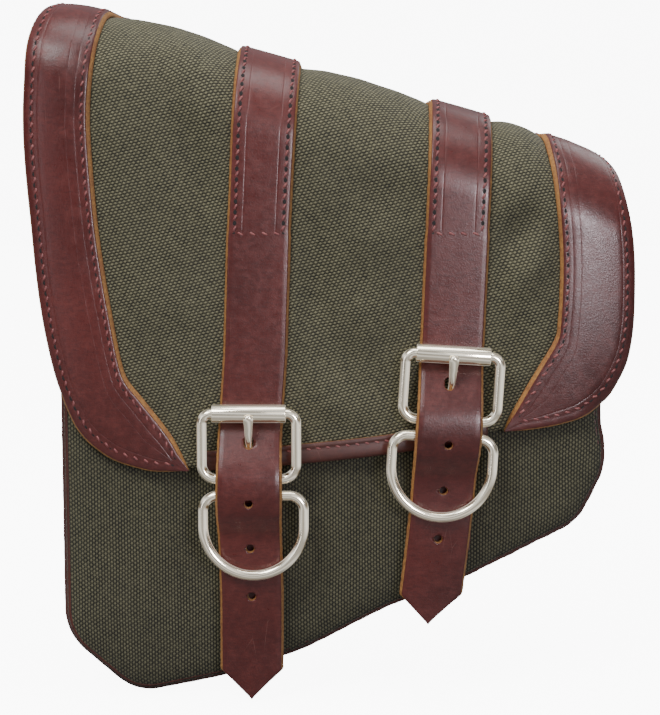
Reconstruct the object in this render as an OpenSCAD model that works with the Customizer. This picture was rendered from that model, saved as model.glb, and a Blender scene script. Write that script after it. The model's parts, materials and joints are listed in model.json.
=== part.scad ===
// Swing-arm saddlebag: canvas bag with a leather-trimmed flap, two buckled
// closing straps and three mounting straps on its back.
// Working frame while modelling: X right, Z up, n = distance in front of the
// back panel's outer face (n = -Y). part() then moves the whole bag so that the
// origin is on the axis of the tube held by the two upper mounting straps.

/* [Bag body] */
// Depth of the bag, from the back panel's outer face to the front canvas
bag_depth = 98; // [80:1:120]
// Thickness of the canvas
canvas_t = 1.6; // [1:0.1:2.4]
// Thickness of the leather back panel
back_t = 3.2; // [2.4:0.1:4]
// Thickness of the plastic board inside the back
board_t = 2; // [1:0.1:3]
// Fall of the top edge from left to right, in degrees
top_slope = 15.5; // [12:0.5:18]
// Height of the flap's top surface above the sheet centre
top_height = 139.5; // [130:0.5:150]
// Radius of the flap's fold over the top front edge
fold_r = 40; // [25:1:45]

/* [Leather] */
// Thickness of the flap's trim leather
trim_t = 3.2; // [2:0.1:4]
// Width of the closing straps
strap_w = 31.75; // [25:0.25:34]
// Thickness of the closing straps
strap_t = 3.6; // [3:0.1:4]
// Distance between buckle holes in a strap
hole_pitch = 25; // [20:0.5:26]
// Diameter of a strap hole
hole_d = 4.4; // [3.5:0.1:5]

/* [Closing hardware] */
// Diameter of the buckle and ring wire
wire_d = 5; // [4.4:0.1:5]
// Height of a buckle between its two bars
buckle_h = 33; // [31:0.5:35]
// Outside diameter of the buckle roller
roller_d = 9; // [7:0.1:9]
// Inside width of the closing ring
ring_w = 45.6; // [42:0.2:48]

/* [Mounting straps] */
// Diameter of the tube that a mounting strap holds
tube_d = 32; // [28:0.5:36]
// Width of a mounting strap
mount_w = 25; // [20:0.5:28]
// Thickness of a mounting strap
mount_t = 3; // [2.5:0.1:3.5]

/* [Hidden] */
$fn = 64;

canvas = "#4b4a3a";
strap_leather = "#6b2a20";
panel_leather = "#5a241c";
binding_leather = "#4a1f18";
board = "#2b2b2b";
metal = "#d8d5c8";

gap = 0.1;       // clearance between parts that touch
play = 0.2;      // clearance of straps, keepers, roller and tube
deep = 600;      // reaches below the whole bag
through = 60;    // length of cutters along or across a bar
open_z = 230;    // outlines run up to here, far above the mouth
binding_t = 1.5;
front_t = 2;
facing_t = 1.7;
keeper_t = 2.8;
board_n = back_t + gap;                 // board's outer face
inside_n = board_n + board_t;           // board's inner face
front_in_n = bag_depth - front_t - gap; // just inside the front panel
mouth_v = -fold_r + 2;                  // top of the front panel, below the flap top
back_top_v = -canvas_t - 0.8;           // top of the back panel, below the flap top

// Closing straps
flap_n = bag_depth + 4;                 // outer face of the flap canvas
bar_n = flap_n + 0.4 + strap_t + play + roller_d / 2; // buckle bars
loop_r = wire_d / 2 + 2.7;              // leather folded round a bar
wire_hole_r = wire_d / 2 + gap;
chape_w = 31;
ring_z = -8.5;                          // ring's bar below the heel bar
split_z = 60;                           // where a closing strap leaves the flap
// Columns of a closing strap's table; the first three place its buckle
bar_x = 0;
bar_z = 1;
tongue_lean = 3;
sewn_lean = 4;
tip_z = 5;
ring_x = 6;
// [heel bar x, z, buckle lean, free end's lean, sewn part's lean,
//  tip's z from the bar, ring's x from the bar]
left_strap = [-40.5, -61.2, 0, 1.2, 3.2, -115.7, 2.1];
right_strap = [59.3, -31.6, 3.4, 3.4, 1.2, -106.1, -2.1];

// Mounting straps: [x, z, turn]
mount_z = 77.2;                         // tube axis at x = 0
function upper_mount(x) = [x, mount_z - x * tan(top_slope), top_slope];
upper_left = upper_mount(-75);
upper_right = upper_mount(75);
lower = [-38, -106, -23];
mounts = [upper_left, upper_right, lower];
tube_y = play + mount_t + play + keeper_t + play + tube_d / 2;
origin = [0, tube_y, mount_z];

// ---- curves ----
// Catmull-Rom point between start and end
function spline(before, start, end, after, t) = 0.5 * (2 * start + (end - before) * t
    + (2 * before - 5 * start + 4 * end - after) * t * t
    + (3 * start - before - 3 * end + after) * t * t * t);
function smooth(p, steps = 3) = let (last = len(p) - 1)
    [for (i = [0:last - 1]) for (j = [0:steps - 1])
        spline(p[max(i - 1, 0)], p[i], p[i + 1], p[min(i + 2, last)], j / steps), p[last]];
function unit(v) = v / norm(v);
function quarter_turn(v) = [-v.y, v.x];
// closed counter-clockwise outline moved inwards
function inset(p, dist) = [for (i = [0:len(p) - 1]) let (
    in_side = quarter_turn(unit(p[i] - p[(i + len(p) - 1) % len(p)])),
    out_side = quarter_turn(unit(p[(i + 1) % len(p)] - p[i])))
    p[i] + dist * (in_side + out_side) / (1 + in_side * out_side)];
// open line moved to its left
function shifted(p, dist) = [for (i = [0:len(p) - 1])
    p[i] + dist * quarter_turn(unit(p[min(i + 1, len(p) - 1)] - p[max(i - 1, 0)]))];
function reversed(p) = [for (i = [len(p) - 1:-1:0]) p[i]];
function tail(p) = [for (i = [1:len(p) - 1]) p[i]];
// line carried straight up to open_z at both ends
function open_top(p) =
    concat([[p[0].x, open_z]], p, [[p[len(p) - 1].x, open_z]]);
// arc of radius r that rounds the corner at point
function corner(before, point, after, r, steps = 5) = let (
    back = unit(before - point), ahead = unit(after - point),
    half = acos(back * ahead) / 2,
    centre = point + unit(back + ahead) * r / sin(half),
    start = point + back * r / tan(half) - centre,
    end = point + ahead * r / tan(half) - centre,
    first = atan2(start.y, start.x),
    diff = atan2(end.y, end.x) - first,
    sweep = diff > 180 ? diff - 360 : (diff < -180 ? diff + 360 : diff))
    [for (i = [0:steps])
        centre + r * [cos(first + sweep * i / steps), sin(first + sweep * i / steps)]];
function xz(row) = [row[0], row[1]];
// closed outline from rows of [x, z, corner radius]
function rounded(rows) = let (n = len(rows)) [for (i = [0:n - 1]) each (rows[i][2] > 0
    ? corner(xz(rows[(i + n - 1) % n]), xz(rows[i]), xz(rows[(i + 1) % n]), rows[i][2])
    : [xz(rows[i])])];

// ---- outlines seen from the front ----
// Outside of the bindings, counter-clockwise from the top left: [x, z, corner radius]
body_corners = [
    [-137.8, open_z, 0], [-137.8, -147.6, 30], [-101, -179.4, 25], [-54.8, -169.8, 60],
    [-13, -155.3, 80], [28.5, -133.4, 100], [69.7, -117.2, 120], [127.5, -87.5, 25],
    [140.9, -60.6, 25], [140.9, -47, 14], [138.6, -34, 30], [138, open_z, 0]];
body_outline = inset(rounded(body_corners), binding_t);
// Flap's left edge, downwards: [x, z]
flap_left = smooth([
    [-135.6, 183], [-136.2, 177.2], [-140, 175.6], [-144.3, 172.5], [-147.4, 165.5],
    [-149.8, 155], [-150.9, 144], [-151.7, 134], [-152.4, 122], [-152.5, 108], [-151.9, 94],
    [-150.9, 80], [-149.6, 65], [-148.1, 45.6], [-146, 26], [-142.8, 6], [-137.8, -15],
    [-130.3, -33.3], [-123.9, -42.4], [-117, -48.4], [-108.9, -53.4], [-96.9, -57.3],
    [-86.9, -59], [-71.2, -58.4]]);
// Flap's bottom edge, left to right: [x, z]
flap_low = smooth([
    [-71.2, -58.4], [-42, -56.8], [-15, -54.2], [30, -49.2], [60, -44.4], [87.6, -38.3]]);
// Flap's right edge, upwards: [x, z]
flap_right = smooth([
    [87.6, -38.3], [99.7, -37.7], [114.7, -35.3], [128.8, -30.9], [139.7, -22.9],
    [144.8, -15.5], [149.6, -5.3], [151.9, 4.9], [153.1, 17], [153.3, 31], [153, 45],
    [152.4, 56], [151.5, 66], [150, 77], [148.4, 86.5], [146.2, 93], [142.5, 97],
    [138.3, 99.3], [136.6, 101.8], [136, 108]]);
// Inner edges of the flap's trim, downwards: [x, z]
trim_in_left = smooth([
    [-108, 180], [-108.2, 172], [-110.3, 169.3], [-112.2, 167], [-114, 160],
    [-115.4, 151.5], [-117.2, 135.5], [-118.2, 122], [-118.2, 109.2], [-116.9, 86.2],
    [-115, 63.2], [-112, 40.3], [-108.2, 17.3], [-104.7, -2], [-101.3, -12.2],
    [-93.3, -22.5], [-79.6, -40.8], [-71.2, -57.8]]);
trim_in_right = smooth([
    [108, 116], [108.2, 110], [108.8, 106], [109.6, 100], [111, 89.6], [112.2, 76.9],
    [113.4, 65.4], [114.4, 50], [114.5, 34.5], [113.8, 17.3], [112.2, 8], [102.6, -8.7],
    [91.4, -28.6], [87.7, -37.7]]);
flap_outline = open_top(concat(flap_left, tail(flap_low), tail(flap_right)));

// ---- placing ----
module part(tint) color(tint) translate(-origin) children();
module at(place) translate([place[0], 0, place[1]]) rotate([0, place[2], 0]) children();
// X-Z outline made solid from n0 to n1
module plate(n0, n1)
    translate([0, -n0, 0]) rotate([90, 0, 0]) linear_extrude(height = n1 - n0) children();
// (n, v) profile swept along the sloping top line; v is height above the flap's top surface
module sweep() {
    fall = sin(top_slope);
    run = cos(top_slope);
    multmatrix([[0, fall, -run, 0], [-1, 0, 0, 0], [0, run, fall, top_height], [0, 0, 0, 1]])
        linear_extrude(height = 700, center = true) children();
}
module slab(n0, n1, v0, v1) sweep() translate([n0, v0]) square([n1 - n0, v1 - v0]);
// (z, n) profile across a closing strap
module across(width) multmatrix([[0, 0, 1, 0], [0, -1, 0, 0], [1, 0, 0, 0], [0, 0, 0, 1]])
    linear_extrude(height = width, center = true) children();
// (z, y) profile across a mounting strap
module behind(width) multmatrix([[0, 0, -1, 0], [0, 1, 0, 0], [1, 0, 0, 0], [0, 0, 0, 1]])
    linear_extrude(height = width, center = true) children();

// ---- wire and cutters ----
module crossbar(y, z, r, width)
    translate([0, y, z]) rotate([0, 90, 0]) cylinder(h = width, r = r, center = true);
module rod(from, to, r) {
    span = to - from;
    translate(from) rotate([0, acos(span.z / norm(span)), atan2(span.y, span.x)])
        cylinder(h = norm(span), r = r);
}
module bend(x, z, bend_r, r, start, angle = 90)
    translate([x, 0, z]) rotate([90, 0, 0]) rotate([0, 0, start])
        rotate_extrude(angle = angle) translate([bend_r, 0]) circle(r = r);
// rectangular cutter centred on x = 0
module slot(width, y, z, depth, height)
    translate([-width / 2, y, z]) cube([width, depth, height]);
// round cutter from the back face forwards
module front_hole(z, r) translate([0, 0, z]) rotate([90, 0, 0]) cylinder(h = 300, r = r);
// buckle frame standing on its heel bar
module frame(half_w, height, top_r, r, heel_r) {
    rod([-half_w + heel_r, 0, 0], [half_w - heel_r, 0, 0], r);
    rod([-half_w + top_r, 0, height], [half_w - top_r, 0, height], r);
    for (x = [-half_w, half_w]) rod([x, 0, heel_r], [x, 0, height - top_r], r);
    bend(half_w - top_r, height - top_r, top_r, r, 0);
    bend(-half_w + top_r, height - top_r, top_r, r, 90);
    bend(-half_w + heel_r, heel_r, heel_r, r, 180);
    bend(half_w - heel_r, heel_r, heel_r, r, 270);
}
// prong with its eye round the heel bar; path holds [y, z] from the bar's axis
module prong(path, r, joint_r, eye_w, eye_r, hole_r) {
    points = [for (p = path) [0, p[0], p[1]]];
    difference() {
        union() {
            crossbar(0, 0, eye_r, eye_w);
            rod(points[0], points[1], r);
        }
        crossbar(0, 0, hole_r, through);
    }
    for (i = [1:len(points) - 2]) rod(points[i], points[i + 1], r);
    for (i = [1:len(points) - 1]) translate(points[i]) sphere(r = joint_r);
}

// ---- rivets, on both sides of a mounting strap ----
module at_rivets() for (side = [-1, 1])
    translate([side * (mount_w / 2 + 10.5), 0, 0]) rotate([90, 0, 0]) children();
module rivet_holes() at_rivets() cylinder(h = through, r = 2, center = true);

// ---- bag body ----
module body_ring(outer, inner) difference() {
    polygon(inset(body_outline, outer));
    polygon(inset(body_outline, inner));
}
module back_panel() part(panel_leather) difference() {
    intersection() {
        plate(0, back_t) polygon(body_outline);
        slab(-5, 60, -deep, back_top_v);
    }
    for (mount = mounts) at(mount) rivet_holes();
}
module back_board() part(board) difference() {
    intersection() {
        plate(board_n, inside_n) polygon(inset(body_outline, 8));
        slab(-5, 60, -deep, -12);
    }
    for (mount = mounts) at(mount) rivet_holes();
}
// the space under the flap's outer surface, grown by grow
module under(grow) {
    reach = 60; // behind the back face
    sweep() union() {
        translate([-reach, -deep]) square([reach + flap_n - fold_r, deep + grow]);
        translate([-reach, -deep]) square([reach + flap_n + grow, deep - fold_r]);
        translate([flap_n - fold_r, -fold_r]) circle(r = fold_r + grow, $fn = 96);
    }
}
module gusset() part(canvas) intersection() {
    plate(board_n, front_in_n) body_ring(0, canvas_t + 0.4);
    under(-4);
}
module front_panel() part(canvas) intersection() {
    plate(bag_depth - front_t, bag_depth) polygon(body_outline);
    slab(0, 200, -deep, mouth_v);
}
// wide ring over the panel's face (n0 to n1) and narrow ring round its edge (edge0 to edge1)
module binding(n0, n1, edge0, edge1, top_v) part(binding_leather) intersection() {
    union() {
        plate(n0, n1) body_ring(-binding_t, 5);
        plate(edge0, edge1) body_ring(-binding_t, -gap);
    }
    slab(-20, 200, -deep, top_v);
}
module front_binding() {
    outer_n = bag_depth + binding_t;
    binding(bag_depth + gap, outer_n, bag_depth - 8, outer_n, mouth_v);
}
module back_binding() binding(-binding_t, -gap, -binding_t, 8, back_top_v);
// lines the inside of the mouth's front edge and folds over its top
module mouth_facing() {
    top_v = -fold_r + 3.3;
    // [front n, lowest v]
    part(binding_leather) union() for (piece = [[front_in_n, -fold_r - 12],
                                                [bag_depth, mouth_v + gap]])
        intersection() {
            plate(front_in_n - facing_t, piece[0]) polygon(inset(body_outline, canvas_t + 0.7));
            slab(0, 200, piece[1], top_v);
        }
}
module hinge_strip() part(canvas) intersection() {
    plate(-2, -gap) polygon(inset(body_outline, 5.4));
    slab(-10, 20, -26, back_top_v);
}

// ---- chapes: sewn to the front panel, folded round the heel bar and the ring's bar ----
module chape(strap) {
    sewn_n = bag_depth + gap;
    outer_n = sewn_n + 5.2;
    part(strap_leather) at(strap) difference() {
        union() {
            across(chape_w) polygon([
                [-67, sewn_n], [-26, sewn_n], [-16, bar_n - loop_r], [0, bar_n - loop_r],
                [0, bar_n], [-16, bar_n], [-24, outer_n], [-67, outer_n]]);
            crossbar(-bar_n, 0, loop_r, chape_w);
            crossbar(-bar_n, ring_z, loop_r - 0.15, chape_w);
        }
        for (z = [0, ring_z]) crossbar(-bar_n, z, wire_hole_r, through);
        slot(6.8, -bar_n - 8, -4.9, 16, 14);
    }
}
module chape_left() chape(left_strap);
module chape_right() chape(right_strap);

// ---- flap ----
leather_n = 6; // where the flap's leather starts, in front of the back face
// the flap's layer between offsets inner and outer, starting at n0
module flap_layer(inner, outer, n0) intersection() {
    difference() {
        under(outer);
        under(inner);
    }
    slab(n0, 200, -deep, 60);
}
module flap_prism(outline) plate(-5, 160) polygon(outline);
module flap_canvas() part(canvas) intersection() {
    flap_layer(-canvas_t, 0, 0.3);
    flap_prism(inset(flap_outline, 1.2));
}
module flap_trim(edges) part(strap_leather) intersection() {
    flap_layer(gap, gap + trim_t, leather_n);
    flap_prism(open_top(edges));
}
module flap_trim_left() flap_trim(concat(flap_left, reversed(trim_in_left)));
module flap_trim_right() flap_trim(concat(trim_in_right, flap_right));
module flap_edge_binding() {
    upper_edge = [for (p = flap_low) p + [0, 9.5]];
    part(binding_leather) intersection() {
        plate(flap_n + gap, flap_n + 1.8) polygon(concat(flap_low, reversed(upper_edge)));
        plate(flap_n, flap_n + 9) polygon([[-64, -100], [82.5, -100], [82.5, 10], [-64, 10]]);
    }
}
// sewn part of a closing strap, from just above split_z up over the fold
module flap_strap(strap) {
    split_x = strap[bar_x] + (split_z - strap[bar_z]) * sin(strap[tongue_lean]);
    half_w = strap_w / 2;
    part(strap_leather) intersection() {
        flap_layer(gap, gap + strap_t, leather_n);
        at([split_x, split_z, strap[sewn_lean]])
            flap_prism([[-half_w, 0.9], [half_w, 0.9], [half_w, 200], [-half_w, 200]]);
    }
}
module flap_strap_left() flap_strap(left_strap);
module flap_strap_right() flap_strap(right_strap);

// ---- free end of a closing strap: under the roller, over the heel bar and the ring's bar,
// behind the ring's bow ----
// [z, n] of the strap's back face, z from the heel bar
function tongue_path(top, tip) = let (over_n = bar_n + loop_r + play) smooth([
    [top, flap_n + gap], [55, flap_n + gap], [44, flap_n + 0.15], [buckle_h, flap_n + 0.3],
    [buckle_h - 6, flap_n + 1.6], [20, flap_n + 5.4], [10, flap_n + 10.6],
    [4, over_n - 0.9], [0, over_n], [-5, over_n + 0.3], [ring_z, over_n],
    [-14.5, over_n - 1.4], [-20, over_n - 4.8], [-27, over_n - 9], [-34, flap_n + 3.6],
    [-42, flap_n + 3.1], [-50, flap_n + 3], [-60, flap_n + 2.4], [-70, flap_n + 1.5],
    [-90, flap_n - 0.2], [tip, flap_n - 0.8]], 2);
module tongue(strap) {
    half_w = strap_w / 2;
    tip = strap[tip_z];
    path = tongue_path(split_z - strap[bar_z], tip);
    slot_w = 5;
    slot_ends = [17.2, 19.8];
    part(strap_leather) at([strap[bar_x], strap[bar_z], strap[tongue_lean]]) difference() {
        intersection() {
            across(strap_w) polygon(concat(path, reversed(shifted(path, -strap_t))));
            plate(60, 160) polygon([[-half_w, 200], [-half_w, tip + 15], [0, tip],
                                    [half_w, tip + 15], [half_w, 200]]);
        }
        for (z = slot_ends) front_hole(z, slot_w / 2);
        slot(slot_w, -200, slot_ends[0], 200, slot_ends[1] - slot_ends[0]);
        for (i = [1:3]) front_hole(14 - i * hole_pitch, hole_d / 2);
    }
}
module strap_tongue_left() tongue(left_strap);
module strap_tongue_right() tongue(right_strap);

// ---- closing buckles and rings, placed from the heel bar's axis ----
module closing_metal(strap) part(metal) at(strap) translate([0, -bar_n, 0]) children();
module buckle_frame(strap) closing_metal(strap) frame(half_w = 23.6, height = buckle_h,
    top_r = 4.8, r = wire_d / 2, heel_r = 7.3);
module buckle_frame_left() buckle_frame(left_strap);
module buckle_frame_right() buckle_frame(right_strap);
module buckle_roller(strap) closing_metal(strap) difference() {
    crossbar(0, buckle_h, roller_d / 2, 37);
    crossbar(0, buckle_h, wire_hole_r, through);
}
module buckle_roller_left() buckle_roller(left_strap);
module buckle_roller_right() buckle_roller(right_strap);
module buckle_prong(strap) closing_metal(strap) prong(
    [[-0.1, 3.4], [-0.1, 7.4], [3.5, 15.2], [-3.6, 21.5], [-roller_d / 2 - 2.1, 31.5]],
    r = 1.9, joint_r = 1.97, eye_w = 5, eye_r = 4.5, hole_r = wire_hole_r);
module buckle_prong_left() buckle_prong(left_strap);
module buckle_prong_right() buckle_prong(right_strap);
module d_ring(strap) {
    r = wire_d / 2;
    bow_r = ring_w / 2 + r;
    corner_r = 7.4;
    bow_z = -15.2;
    half_bar = bow_r - corner_r;
    closing_metal(strap) translate([strap[ring_x], 0, ring_z]) rotate([-1.9, 0, 0]) union() {
        rod([-half_bar, 0, 0], [half_bar, 0, 0], r);
        bend(half_bar, -corner_r, corner_r, r, 0);
        bend(-half_bar, -corner_r, corner_r, r, 90);
        for (x = [-bow_r, bow_r]) rod([x, 0, bow_z], [x, 0, -corner_r], r);
        bend(0, bow_z, bow_r, r, 180, 180);
    }
}
module d_ring_left() d_ring(left_strap);
module d_ring_right() d_ring(right_strap);

// ---- mounting straps: belts round a frame tube, held to the back by riveted keepers ----
module keeper(mount) {
    half_w = mount_w / 2;
    arch_y = mount_t + 0.4;
    right_half = [
        [half_w + 1, arch_y], [half_w + 4, gap], [half_w + 18, gap],
        [half_w + 18, keeper_t], [half_w + 5, keeper_t], [half_w + 2, arch_y + keeper_t]];
    left_half = [for (p = reversed(right_half)) [-p.x, p.y]];
    part(panel_leather) at(mount) difference() {
        translate([0, 0, -10]) linear_extrude(height = 20)
            polygon(concat(right_half, left_half));
        rivet_holes();
    }
}
module keeper_upper_left() keeper(upper_left);
module keeper_upper_right() keeper(upper_right);
module keeper_lower() keeper(lower);
// [radius, n]: domed head on the keeper, flat head inside the board
rivet_profile = [
    [0, -keeper_t - 2.1], [2.4, -keeper_t - 1.9], [4, -keeper_t - 1.1],
    [4.6, -keeper_t - 0.1], [1.9, -keeper_t - 0.1], [1.9, inside_n + 0.1],
    [4.2, inside_n + 0.1], [4.2, inside_n + 1.1], [0, inside_n + 1.1]];
module keeper_rivets() part(metal)
    for (mount = mounts) at(mount) at_rivets() rotate_extrude() polygon(rivet_profile);

function past_tube(dist) = tube_y + tube_d / 2 + dist; // y, behind the tube's far side
heel_z = -10;                // mounting buckle's heel bar
heel_lift = 4.6;             // and its distance past the tube
heel_y = past_tube(heel_lift);
frame_drop = heel_lift + 0.9; // fall of the frame's upper bar towards the tube
mount_wire_r = 2;
mount_hole_r = mount_wire_r + gap;
// [z, y] along the middle of the belt's overlapping end
belt_end = smooth([
    [13.8, past_tube(-4.6)], [8, past_tube(0.2)], [1, past_tube(5.6)], [-6, past_tube(9.4)],
    [-12, past_tube(9.9)], [-20, past_tube(7.6)], [-30, past_tube(3.4)],
    [-42, past_tube(0.6)]]);
// round behind the tube, square towards the bag
module belt_shape(r, front_y) union() {
    translate([0, tube_y]) circle(r = r);
    translate([-r, front_y]) square([2 * r, tube_y - front_y]);
}
module mount_strap(mount) part(strap_leather) at(mount) difference() {
    union() {
        behind(mount_w) belt_shape(tube_d / 2 + mount_t, play);
        behind(mount_w) polygon(concat(shifted(belt_end, -mount_t / 2),
                                       reversed(shifted(belt_end, mount_t / 2))));
        crossbar(heel_y, heel_z, 4.4, mount_w);
    }
    behind(through) belt_shape(tube_d / 2, play + mount_t);
    crossbar(heel_y, heel_z, mount_hole_r, through);
    slot(5.6, past_tube(0.6), heel_z - 4.6, 8.2, 13);
    slot(4.6, past_tube(-2.2), heel_z - 2, 16, 17.5);
    translate([0, tube_y + 30, -33]) rotate([90, 0, 0])
        cylinder(h = 40, r = 1.8, center = true);
}
module mount_strap_upper_left() mount_strap(upper_left);
module mount_strap_upper_right() mount_strap(upper_right);
module mount_strap_lower() mount_strap(lower);
module mount_metal(mount) part(metal) at(mount) translate([0, heel_y, heel_z]) children();
module mount_buckle(mount) mount_metal(mount) rotate([atan2(frame_drop, 26.4), 0, 0])
    frame(half_w = 17, height = 26.9, top_r = 3.6, r = mount_wire_r, heel_r = 3.6);
module mount_buckle_upper_left() mount_buckle(upper_left);
module mount_buckle_upper_right() mount_buckle(upper_right);
module mount_buckle_lower() mount_buckle(lower);
module mount_prong(mount) mount_metal(mount) prong(
    [[-0.2, 3], [-0.6, 6.4], [2.9, 13], [3.75 - frame_drop, 26.4]],
    r = 1.5, joint_r = 1.56, eye_w = 4.4, eye_r = 3.7, hole_r = mount_hole_r);
module mount_prong_upper_left() mount_prong(upper_left);
module mount_prong_upper_right() mount_prong(upper_right);
module mount_prong_lower() mount_prong(lower);

back_panel();
back_board();
gusset();
front_panel();
front_binding();
back_binding();
mouth_facing();
hinge_strip();
chape_left();
chape_right();
keeper_upper_left();
keeper_upper_right();
keeper_lower();
keeper_rivets();
mount_strap_upper_left();
mount_strap_upper_right();
mount_strap_lower();
mount_buckle_upper_left();
mount_buckle_upper_right();
mount_buckle_lower();
mount_prong_upper_left();
mount_prong_upper_right();
mount_prong_lower();
flap_canvas();
flap_trim_left();
flap_trim_right();
flap_edge_binding();
flap_strap_left();
flap_strap_right();
strap_tongue_left();
strap_tongue_right();
buckle_frame_left();
buckle_frame_right();
buckle_roller_left();
buckle_roller_right();
buckle_prong_left();
buckle_prong_right();
d_ring_left();
d_ring_right();
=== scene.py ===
"""A canvas bag with leather edges and a front flap held by two buckled straps.

Shapes are drawn in mm as (x, n, z): x to the viewer's right, n from the back face towards
the viewer, z up. to_frame() turns them into the frame's metres, where the viewer is at -y.
The flap is drawn unrolled: its height zf runs on over the fold, and "arc" is the distance
along the sheet from the hinge line, over the top and down the front.
"""
import bpy
import bmesh
import math
import json
import numpy as np
from mathutils import Matrix, Vector
from mathutils.geometry import delaunay_2d_cdt


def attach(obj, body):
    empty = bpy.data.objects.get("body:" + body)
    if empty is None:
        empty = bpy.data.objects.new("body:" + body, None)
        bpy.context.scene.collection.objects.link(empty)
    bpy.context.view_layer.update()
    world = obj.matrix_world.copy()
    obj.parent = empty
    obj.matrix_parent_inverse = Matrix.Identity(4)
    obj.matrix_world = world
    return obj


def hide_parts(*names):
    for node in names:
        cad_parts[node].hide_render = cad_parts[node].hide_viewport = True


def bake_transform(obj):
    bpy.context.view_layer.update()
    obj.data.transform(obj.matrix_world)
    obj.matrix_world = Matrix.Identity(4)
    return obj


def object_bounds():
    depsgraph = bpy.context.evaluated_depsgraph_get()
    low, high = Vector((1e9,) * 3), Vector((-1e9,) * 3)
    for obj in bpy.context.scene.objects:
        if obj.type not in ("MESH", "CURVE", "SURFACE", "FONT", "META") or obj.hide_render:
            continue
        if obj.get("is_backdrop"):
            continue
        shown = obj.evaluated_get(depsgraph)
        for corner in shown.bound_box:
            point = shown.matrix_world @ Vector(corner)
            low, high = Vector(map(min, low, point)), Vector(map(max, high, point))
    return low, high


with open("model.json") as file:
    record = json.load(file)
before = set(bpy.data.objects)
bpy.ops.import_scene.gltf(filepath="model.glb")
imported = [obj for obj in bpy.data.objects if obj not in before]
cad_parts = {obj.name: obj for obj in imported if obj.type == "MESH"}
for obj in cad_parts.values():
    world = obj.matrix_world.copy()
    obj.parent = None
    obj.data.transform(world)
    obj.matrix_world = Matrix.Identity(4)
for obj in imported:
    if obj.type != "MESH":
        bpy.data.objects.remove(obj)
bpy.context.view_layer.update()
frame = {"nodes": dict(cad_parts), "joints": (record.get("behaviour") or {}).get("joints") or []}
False  # a bare value with no effect

# ---------------------------------------------------------------- main sizes (mm)
JOINTS = {joint["name"]: joint for joint in frame["joints"]}
HINGE = JOINTS["flap_hinge"]["pos_m"]
HINGE_AXIS = JOINTS["flap_hinge"]["axis"]
SIN, COS = HINGE_AXIS[2], -HINGE_AXIS[0]    # tilt of the hinge line in the x, z plane
HINGE_Z = 139.5                             # height of the hinge line at x = 0
Y_SHIFT, Z_SHIFT = -HINGE[1] * 1000, HINGE_Z - HINGE[2] * 1000
BAR_N = -JOINTS["buckle_left_swing"]["pos_m"][1] * 1000 - Y_SHIFT   # n of the buckle bars
FOLD_R, TOP_FLAT = 40.0, 62.0               # fold radius, flat length on top
FACE_N = TOP_FLAT + FOLD_R                  # flap's outer face
FOLD_END = TOP_FLAT + FOLD_R * math.pi / 2  # arc at the end of the fold
ARC_AT_HINGE_Z = 84.832                     # arc where the unrolled face reaches HINGE_Z
BODY_N = 98.0                               # bag's front face
FLAP_HALF = (148.6, 150.0)                  # widest reach of the flap's canvas, left and right
TRIM_T = 3.2                                # thickness of the flap's side trims
STRAP_T, STRAP_HALF = 3.6, 15.875           # strap thickness and half width
STRAP_CLEAR = 15.9                          # half width kept clear of the canvas swell
SPLIT_Z = 60.0                              # the closing straps leave the flap's face here


def buckle_at(side):
    """x, z and lean of a buckle's heel bar"""
    joint = JOINTS["buckle_%s_swing" % side]
    pos, axis = joint["pos_m"], joint["axis"]
    return pos[0] * 1000, pos[2] * 1000 + Z_SHIFT, math.atan2(-axis[2], axis[0])


BUCKLES = {side: buckle_at(side) for side in ("left", "right")}


def to_frame(p):
    p = np.asarray(p, float)
    return np.stack([p[..., 0], -p[..., 1] - Y_SHIFT, p[..., 2] - Z_SHIFT], -1) / 1000.0


def frame_point(x, n, z):
    return tuple(to_frame(np.array([x, n, z])))


def tilted_z(x, rise):
    """height of a point that stands rise above the tilted hinge line"""
    return HINGE_Z + (rise - x * SIN) / COS


def unrolled_z(x, arc):
    return tilted_z(x, ARC_AT_HINGE_Z - arc)


def arc_at(x, zf):
    return ARC_AT_HINGE_Z - (x * SIN + (zf - HINGE_Z) * COS)


# ---------------------------------------------------------------- curves
def smooth_curve(points, steps=8):
    """Catmull-Rom curve through the points"""
    points = np.asarray(points, float)
    out = []
    for i in range(len(points) - 1):
        before, start = points[max(i - 1, 0)], points[i]
        end, after = points[i + 1], points[min(i + 2, len(points) - 1)]
        for j in range(steps):
            t = j / steps
            out.append(0.5 * (2 * start + (end - before) * t
                              + (2 * before - 5 * start + 4 * end - after) * t * t
                              + (3 * start - before - 3 * end + after) * t ** 3))
    out.append(points[-1])
    return np.array(out)


def run_length(points):
    """distance along a line at each of its points"""
    steps = np.linalg.norm(np.diff(points, axis=0), axis=1)
    return np.concatenate([[0], np.cumsum(steps)])


def resample(points, count=None, step=None):
    points = np.asarray(points, float)
    run = run_length(points)
    count = count or max(2, int(round(run[-1] / step)) + 1)
    at = np.linspace(0, run[-1], count)
    return np.stack([np.interp(at, run, column) for column in points.T], 1)


def unit(v):
    return v / np.linalg.norm(v, axis=-1, keepdims=True)


def rounded(corners, steps=10):
    """line through corners (x, z, radius), each turned by an arc; radius 0 stays sharp"""
    out = []
    count = len(corners)
    for i, (_, _, radius) in enumerate(corners):
        before, corner, after = (np.array(corners[j % count][:2], float)
                                 for j in (i - 1, i, i + 1))
        if radius <= 0:
            out.append(corner)
            continue
        back, ahead = unit(before - corner), unit(after - corner)
        half = math.acos(back @ ahead) / 2
        centre = corner + unit(back + ahead) * radius / math.sin(half)
        start = corner + back * radius / math.tan(half)
        end = corner + ahead * radius / math.tan(half)
        first, last = (math.atan2(*(p - centre)[::-1]) for p in (start, end))
        sweep_angle = (last - first + math.pi) % (2 * math.pi) - math.pi
        for j in range(steps + 1):
            angle = first + sweep_angle * j / steps
            out.append(centre + radius * np.array([math.cos(angle), math.sin(angle)]))
    return np.array(out)


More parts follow.
